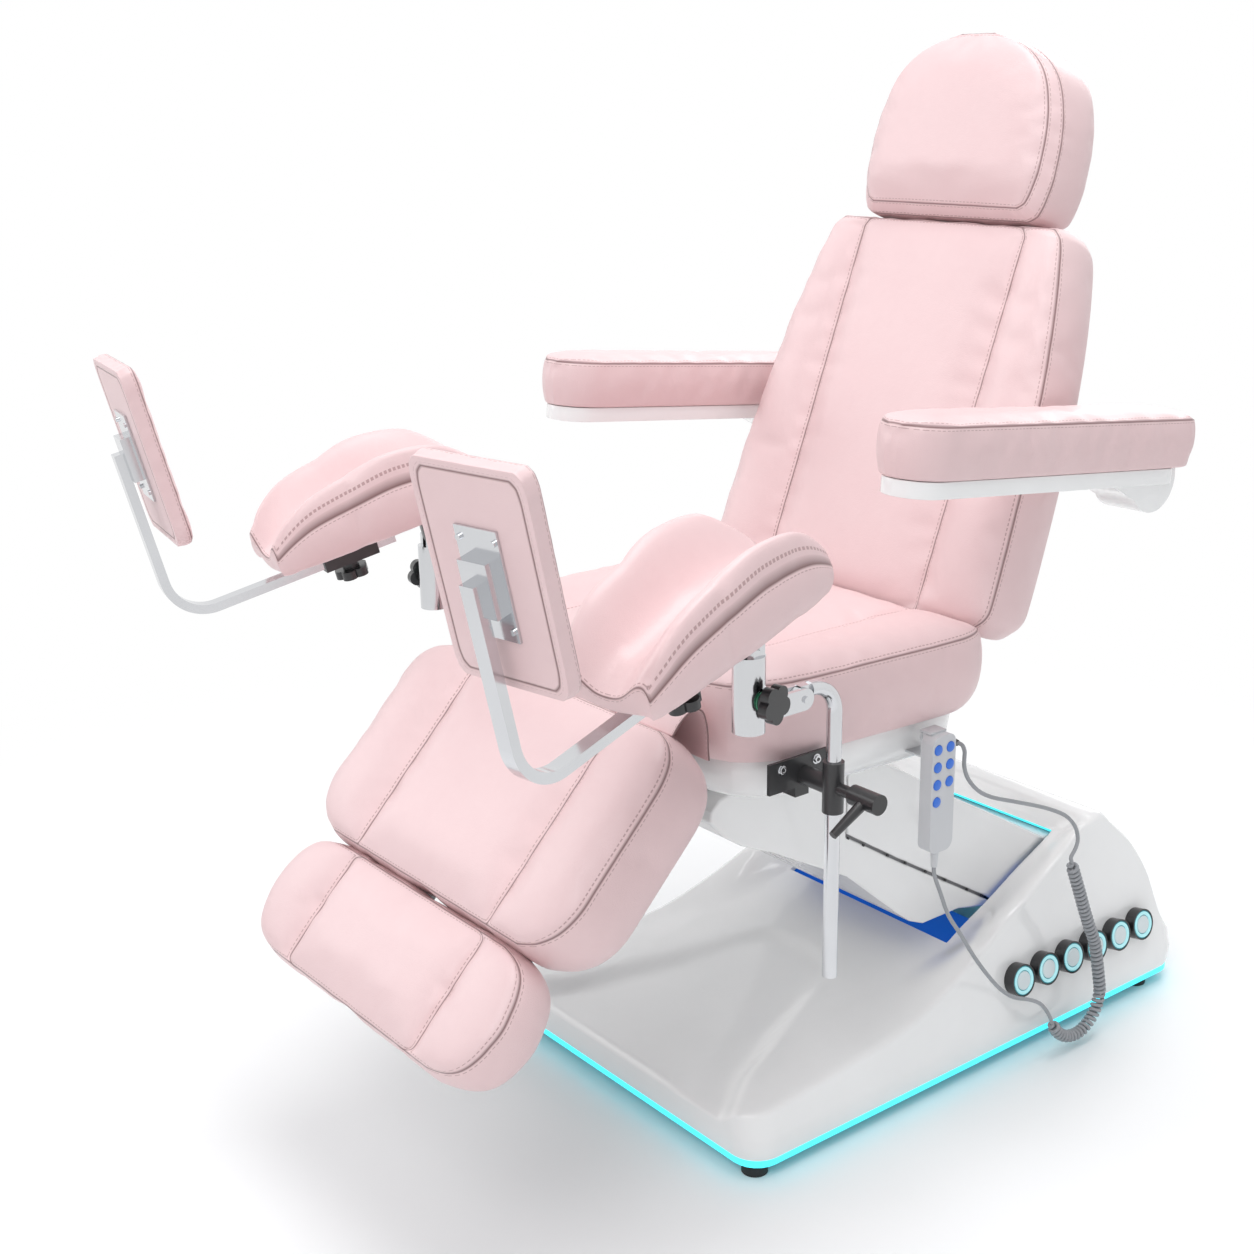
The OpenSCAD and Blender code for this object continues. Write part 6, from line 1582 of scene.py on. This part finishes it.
class Fittings:
    """Covers, pan, trays, handset and the finishes of the nodes that stay."""

    STAYING = {
        Slot.STEEL: ("base_frame", "lift_arm", "seat_frame", "leg_frame", "foot_frame"),
        Slot.WHITE_METAL: ("back_frame",),
        Slot.CHROME: ("headrest_post", "handset_hook", "support_rod_left", "support_rod_right",
                      "support_tube_left", "support_tube_right", "foot_bar_left", "foot_bar_right"),
        Slot.BLACK_METAL: ("clamp_brackets",),
        Slot.BLACK_PLASTIC: ("button_bezels", "mains_inlet", "clamp_handle_left", "clamp_handle_right",
                             "tube_knob_left", "tube_knob_right", "pad_knob_left", "pad_knob_right"),
        Slot.RUBBER: ("rubber_feet",),
        Slot.LIGHT: ("light_strip",),
        Slot.TRAY: ("well_tray",),
    }

    def __init__(self, shop: Workshop, layout: Layout, size: SmallSizes) -> None:
        """Notes the sizes and where the sections stand."""
        self.shop, self.layout, self.size = shop, layout, size

    def finish_nodes(self) -> None:
        """Gives each node that stays its material."""
        for slot, names in self.STAYING.items():
            for name in names:
                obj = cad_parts[name]
                obj.data.materials.clear()
                obj.data.materials.append(self.shop.palette[slot])

    def make(self) -> None:
        """Builds the covers, the pan, the armrest trays, the handset and the small pieces."""
        s = self.size
        out = s.cover_side * MM
        for part in ("upper", "lower"):
            obj = self.shop.softened("trunk_" + part, "arm_cover_" + part, s.cover_round, 4, 50,
                                     only=lambda a, b: abs(a.x) > out and abs(b.x) > out)
            self.shop.fitted(obj, "arm", Slot.SHELL, "arm_cover_" + part)
        for side, name in SIDE_NAME.items():
            tray = self.shop.softened("tray_" + name, "armrest_tray_" + name, s.tray_round, 3, 50)
            self.shop.fitted(tray, "armrest_" + name, Slot.SHELL, "armrest_tray_" + name)
        self._pan()
        self._handset()
        green = self.shop.palette.other(Moulding("green_washer", (0.03, 0.3, 0.14), 0.35, coat=0.2))
        for side, name in SIDE_NAME.items():
            self._bolts(side, name)
            self._washer(side, name, green)
            # A dark strip along the gap between the covers: painted shade.
            self._liner("seam_shade_strip_" + name, side, s.seam, Slot.STEEL)
            self._liner("split_liner_" + name, side, s.split, Slot.SHELL)
            self._seam_marks(side, name)
        self._flap()

    def _bolts(self, side: int, name: str) -> None:
        """Bright socket-headed screws over the clamp plate's bolts.

        Args:
            side: LEFT or RIGHT.
            name: The side's name.
        """
        s = self.size
        for k, y in enumerate(s.bolt_y):
            m = (Matrix.Translation((side * s.plate_out, y, s.bolt_z))
                 @ Matrix.Rotation(side * QUARTER_TURN, 4, "Y"))
            head = self.shop.lathe(f"plate_screw_{name}_{k + 1}", s.bolt_head, m, 32)
            self.shop.fitted(head, "seat", Slot.BLACK_METAL, material=self.shop.palette[Slot.CHROME])

    def _washer(self, side: int, name: str, green: bpy.types.Material) -> None:
        """The green washer behind the star knob on a support tube.

        Args:
            side: LEFT or RIGHT.
            name: The side's name.
            green: Its material.
        """
        s = self.size
        x, y, r = s.tube
        m = (mirrored(side) @ Matrix.Translation((x, y, 0))
             @ Matrix.Rotation(math.radians(self.layout.toe_out), 4, "Z")
             @ Matrix.Translation((r + s.washer_gap, 0, s.knob_z))
             @ Matrix.Rotation(QUARTER_TURN, 4, "Y"))
        ring = self.shop.lathe("washer_" + name, s.washer, m, 40)
        if side == RIGHT:
            ring.data.flip_normals()
        self.shop.fitted(ring, "tube_star_" + name, Slot.BLACK_PLASTIC, material=green)

    def _liner(self, name: str, side: int, seam: Table, slot: Slot) -> None:
        """A thin strip inside the covers, carried along the gap that it shows through; a dark one is
        painted shade.

        Args:
            name: The piece's name.
            side: Which side it is on.
            seam: The gap's y and z.
            slot: Its material slot.
        """
        line = np.array(seam, float)
        rings = np.array([[(side * x, *(q + n * w)) for x, w in self.size.strip]
                          for q, n in zip(line, normals(line))])
        ids = np.arange(4 * len(line)).reshape(-1, 4)
        faces = [face for a, b in zip(ids, ids[1:]) for face in band_faces(b, a)]
        liner = self.shop.mesh(name, placed(rings.reshape(-1, 3)),
                               faces + [tuple(ids[0][::-1]), tuple(ids[-1])])
        self.shop.shade(liner, 40)
        self.shop.fitted(liner, "arm", slot)

    def _seam_marks(self, side: int, name: str) -> None:
        """Small dark clips, rounded blocks turned along the gap between the trunk's covers.

        Args:
            side: LEFT or RIGHT.
            name: The side's name.
        """
        s = self.size
        line = np.array(s.seam, float)
        run = run_along(line)
        for k, share in enumerate(s.mark_shares):
            q = share * run[-1]
            here, ahead = (np.array([np.interp(at, run, line[:, c]) for c in (0, 1)])
                           for at in (q, q + s.mark_ahead))
            turn = math.atan2(*(ahead - here)[::-1])
            bm = bmesh.new()
            bmesh.ops.create_cube(bm, size=1)
            bmesh.ops.scale(bm, vec=s.mark, verts=bm.verts)
            bmesh.ops.bevel(bm, geom=list(bm.edges), offset=s.mark_round, segments=2, affect="EDGES")
            bmesh.ops.rotate(bm, matrix=Matrix.Rotation(turn, 3, "X"), verts=bm.verts)
            bmesh.ops.translate(bm, vec=(side * s.mark_out, *here), verts=bm.verts)
            pts = np.array([v.co for v in bm.verts])
            faces = [[v.index for v in f.verts] for f in bm.faces]
            bm.free()
            obj = self.shop.mesh(f"seam_clip_{name}_{k + 1}", placed(pts), faces)
            self.shop.shade(obj, 40)
            self.shop.fitted(obj, "arm", Slot.BLACK_PLASTIC)

    def _flap(self) -> None:
        """A leather flap over the gap between seat and leg rest: a folded line carried across.

        Both its faces stand off the line by the flap's half thickness and a slight wave.
        """
        s = self.size
        line = CordRoute.smooth(s.flap, 5)
        n, m = normals(line), len(line)
        xs = np.linspace(-s.flap_half, s.flap_half, s.flap_columns)
        height, number, start = s.flap_wave
        wave = height * np.sin(xs * number + start)[:, None] * np.sin(np.linspace(0, math.pi, m))
        layers = []
        for off in (s.flap_thick, -s.flap_thick):
            at = line + n * (off + wave)[..., None]
            across = np.broadcast_to(xs[:, None, None], at[..., :1].shape)
            layers.append(np.concatenate([across, at], 2))
        points = np.concatenate(layers).reshape(-1, 3)
        o = len(xs) * m
        faces = sheet_faces(len(xs), m)
        faces += [tuple(o + v for v in reversed(f)) for f in faces]
        ids = np.array([i * m + j for j, i in border(0, m - 1, 0, len(xs) - 1)])
        faces += [(ids[k - 1], ids[k], o + ids[k], o + ids[k - 1]) for k in range(len(ids))]
        far = np.minimum(s.flap_half - np.abs(points[:, 0]), s.flap_seam)
        obj = self.shop.mesh("gap_flap", placed(points), faces,
                             {"seam": far * MM, "along": points[:, 2] * MM})
        self.shop.shade(obj, 50)
        self.shop.subdivide(obj)
        obj.data.materials.append(self.shop.palette[Slot.LEATHER])
        start, end = (tuple(placed(np.array(point))) for point in s.flap_ends)
        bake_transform(obj)

    def _pan(self) -> None:
        """The seat's dish: rings drawn in from the seat cushion's outline, down to its floor."""
        s, seat = self.size, Upholstery.SEAT
        ts = np.unique(np.concatenate([np.linspace(0, 1, s.pan_rows), s.pan_ends]))
        w = seat.half * seat.read(1, ts)
        count = s.pan_columns
        across = np.linspace(-1, 1, count + 2)[1:-1]
        outline = np.concatenate([
            np.column_stack([across * w[0], np.zeros(count)]), np.column_stack([w, ts * seat.length]),
            np.column_stack([across[::-1] * w[-1], np.full(count, seat.length)]),
            np.column_stack([-w, ts * seat.length])[::-1]])
        k, mid, front = len(outline), seat.length / 2, self.layout.seat_seam[1]
        rings = [np.column_stack([outline[:, 0] * (1 - g / seat.half),
                                  front + mid + (outline[:, 1] - mid) * (1 - g / mid), np.full(k, z)])
                 for g, z in s.pan]
        middles = [[0, front + mid, s.pan[end][1]] for end in (0, -1)]
        ids = np.arange(len(rings) * k).reshape(-1, k)
        faces = [face for a, b in zip(ids, ids[1:]) for face in band_faces(b, a)]
        top, bottom = len(rings) * k, len(rings) * k + 1
        faces += [(i, top, (i + 1) % k) for i in range(k)]
        faces += [(ids[-1][i], ids[-1][(i + 1) % k], bottom) for i in range(k)]
        obj = self.shop.mesh("seat_pan", placed(np.concatenate(rings + [middles])), faces)
        self.shop.shade(obj, 50)
        self.shop.fitted(obj, "seat", Slot.SHELL, "seat_shell")
        m = Matrix.Translation(s.gland_at) @ Matrix.Rotation(QUARTER_TURN, 4, "Y")
        self.shop.fitted(self.shop.lathe("cord_gland", s.gland, m), "seat", Slot.BLACK_PLASTIC)

    def _handset(self) -> None:
        """The handset's rounded case and its domed keys, in two columns from the top down."""
        s = self.size
        case = self.shop.softened("handset_shell", "handset_case", s.case_round, 4, 50)
        self.shop.fitted(case, "seat", Slot.HANDSET, "handset_case")
        x, y, z = s.keys_at
        for i in range(s.keys):
            row, column = divmod(i, 2)
            at = (x, y + (column - 0.5) * s.key_step[0], z - row * s.key_step[1])
            m = Matrix.Translation(at) @ Matrix.Rotation(QUARTER_TURN, 4, "Y")
            key = self.shop.lathe(f"hand_key_cap_{i + 1}", s.key, m, 32)
            self.shop.fitted(key, f"hand_key_{i + 1}", Slot.HAND_KEY, f"handset_button_{i + 1}")


# ---- Stage -----------------------------------------------------------------------------------


@dataclass(frozen=True)
class Lamp:
    """A square soft light: where it stands and what it faces, in metres, its size and power."""

    name: str
    at: Point
    to: Point
    size: float
    power: float

    def make(self) -> None:
        """Hangs the lamp."""
        data = bpy.data.lights.new(self.name, "AREA")
        data.shape, data.size, data.energy = "SQUARE", self.size, self.power
        light = bpy.data.objects.new(self.name, data)
        light.location = self.at
        light.rotation_euler = (Vector(self.to) - Vector(self.at)).to_track_quat("-Z", "Y").to_euler()
        bpy.context.scene.collection.objects.link(light)


@dataclass(frozen=True)
class Studio:
    """Camera, lights, floor and background. The camera's place is in mm, its focal length in px."""

    eye: Point = (1855.53, -1418.56, 1457.95)
    ahead: Point = (-0.755495, 0.586160, -0.292650)
    roll: float = -0.95
    focal: float = 1772.57
    picture: float = 1254.0
    sensor: float = 36.0
    lamps: tuple[Lamp, ...] = (
        Lamp("key", (1.6, -3.2, 3.8), (0, 0, 0.7), 2.4, 55),
        Lamp("fill", (-3.4, -2.2, 2.4), (0, 0, 0.7), 2.6, 30),
        Lamp("top", (0.2, 0.2, 4.4), (0, 0.1, 0.6), 2.6, 82),
        Lamp("rim", (-1.5, 3.6, 2.8), (0, 0, 0.8), 2.0, 30))
    sky: Point = (0.92, 0.94, 0.97)
    sky_strength: float = 0.6
    floor_half: float = 7.5
    floor_points: int = 61
    floor_down: float = 0.0005
    fade_from: float = 0.9
    fade_over: float = 1.3
    floor_tones: tuple[Point, Point] = ((0.95, 0.95, 0.95), (0.93, 0.93, 0.93))
    floor_blotch: float = 0.8
    farthest: float = 50.0

    def make_camera(self) -> None:
        """The camera at the photograph's place."""
        ahead = Vector(self.ahead).normalized()
        right = ahead.cross(Vector((0, 0, 1))).normalized()
        up = right.cross(ahead)
        a = math.radians(self.roll)
        across = right * math.cos(a) + up * math.sin(a)
        upward = up * math.cos(a) - right * math.sin(a)
        data = bpy.data.cameras.new("camera")
        data.sensor_width = self.sensor
        data.lens = self.focal / self.picture * self.sensor
        data.clip_end = self.farthest
        cam = bpy.data.objects.new("camera", data)
        rows = [(across[k], upward[k], -ahead[k], 0) for k in range(3)] + [(0, 0, 0, 1)]
        cam.matrix_world = Matrix.Translation(placed(np.array(self.eye))) @ Matrix(rows)
        bpy.context.scene.collection.objects.link(cam)
        bpy.context.scene.camera = cam

    def make_light(self, shop: Workshop) -> None:
        """Soft studio light over a pale floor, with a white background.

        Args:
            shop: Makes the floor.
        """
        for lamp in self.lamps:
            lamp.make()
        world = bpy.data.worlds.new("studio")
        world.use_nodes = True
        tree = world.node_tree
        back = tree.nodes["Background"]
        feed(tree, self.sky, back.inputs["Color"])
        feed(tree, self.sky_strength, back.inputs["Strength"])
        white = node(tree, "ShaderNodeBackground", {}, {"Color": (1, 1, 1), "Strength": 1.0})
        mix = node(tree, "ShaderNodeMixShader", {}, {
            0: seen_directly(tree), 1: Shade(tree, back.outputs[0]), 2: white})
        feed(tree, mix, tree.nodes["World Output"].inputs["Surface"])
        bpy.context.scene.world = world
        self._floor(shop)

    def _floor(self, shop: Workshop) -> None:
        """A flat grid that keeps the chair's shadow and turns white in a smooth step far from it.

        Args:
            shop: Makes the floor.
        """
        g = np.linspace(-self.floor_half, self.floor_half, self.floor_points)
        pts = np.array([(x, y, -self.floor_down) for y in g for x in g])
        away = eased((np.linalg.norm(pts[:, :2], axis=1) - self.fade_from) / self.fade_over)
        floor = shop.mesh("floor", pts, sheet_faces(len(g), len(g)), {"away": away})
        surface = Surface("pale_floor", (0.9, 0.9, 0.9), 0.6)
        near = surface.mixed(surface.noise(self.floor_blotch), *self.floor_tones)
        surface.drive("Base Color", near)
        surface.whitened(surface.attribute("away") * seen_directly(surface.tree))
        floor.data.materials.append(surface.material)


class Chair:
    """The whole chair, section by section."""

    def __init__(self) -> None:
        """Mixes the finishes and sets out the sections."""
        self.shop = Workshop(Palette())
        self.layout = Layout()
        self.studio = Studio()

    def build(self) -> None:
        """Builds every piece and the studio around it."""
        self.studio.make_camera()
        Cord(self.shop, CordRoute()).make()
        Upholstery(self.shop, self.layout).make()
        base = Base(self.shop, BaseSize())
        base.make_shell()
        base.make_buttons()
        fittings = Fittings(self.shop, self.layout, SmallSizes())
        fittings.finish_nodes()
        fittings.make()
        self.studio.make_light(self.shop)


def main() -> None:
    """Builds the chair."""
    logging.basicConfig(level=logging.INFO, format="%(name)s: %(message)s")
    bpy.context.scene.view_settings.view_transform = "Standard"
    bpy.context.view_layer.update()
    Chair().build()


if __name__ == "__main__":
    main()
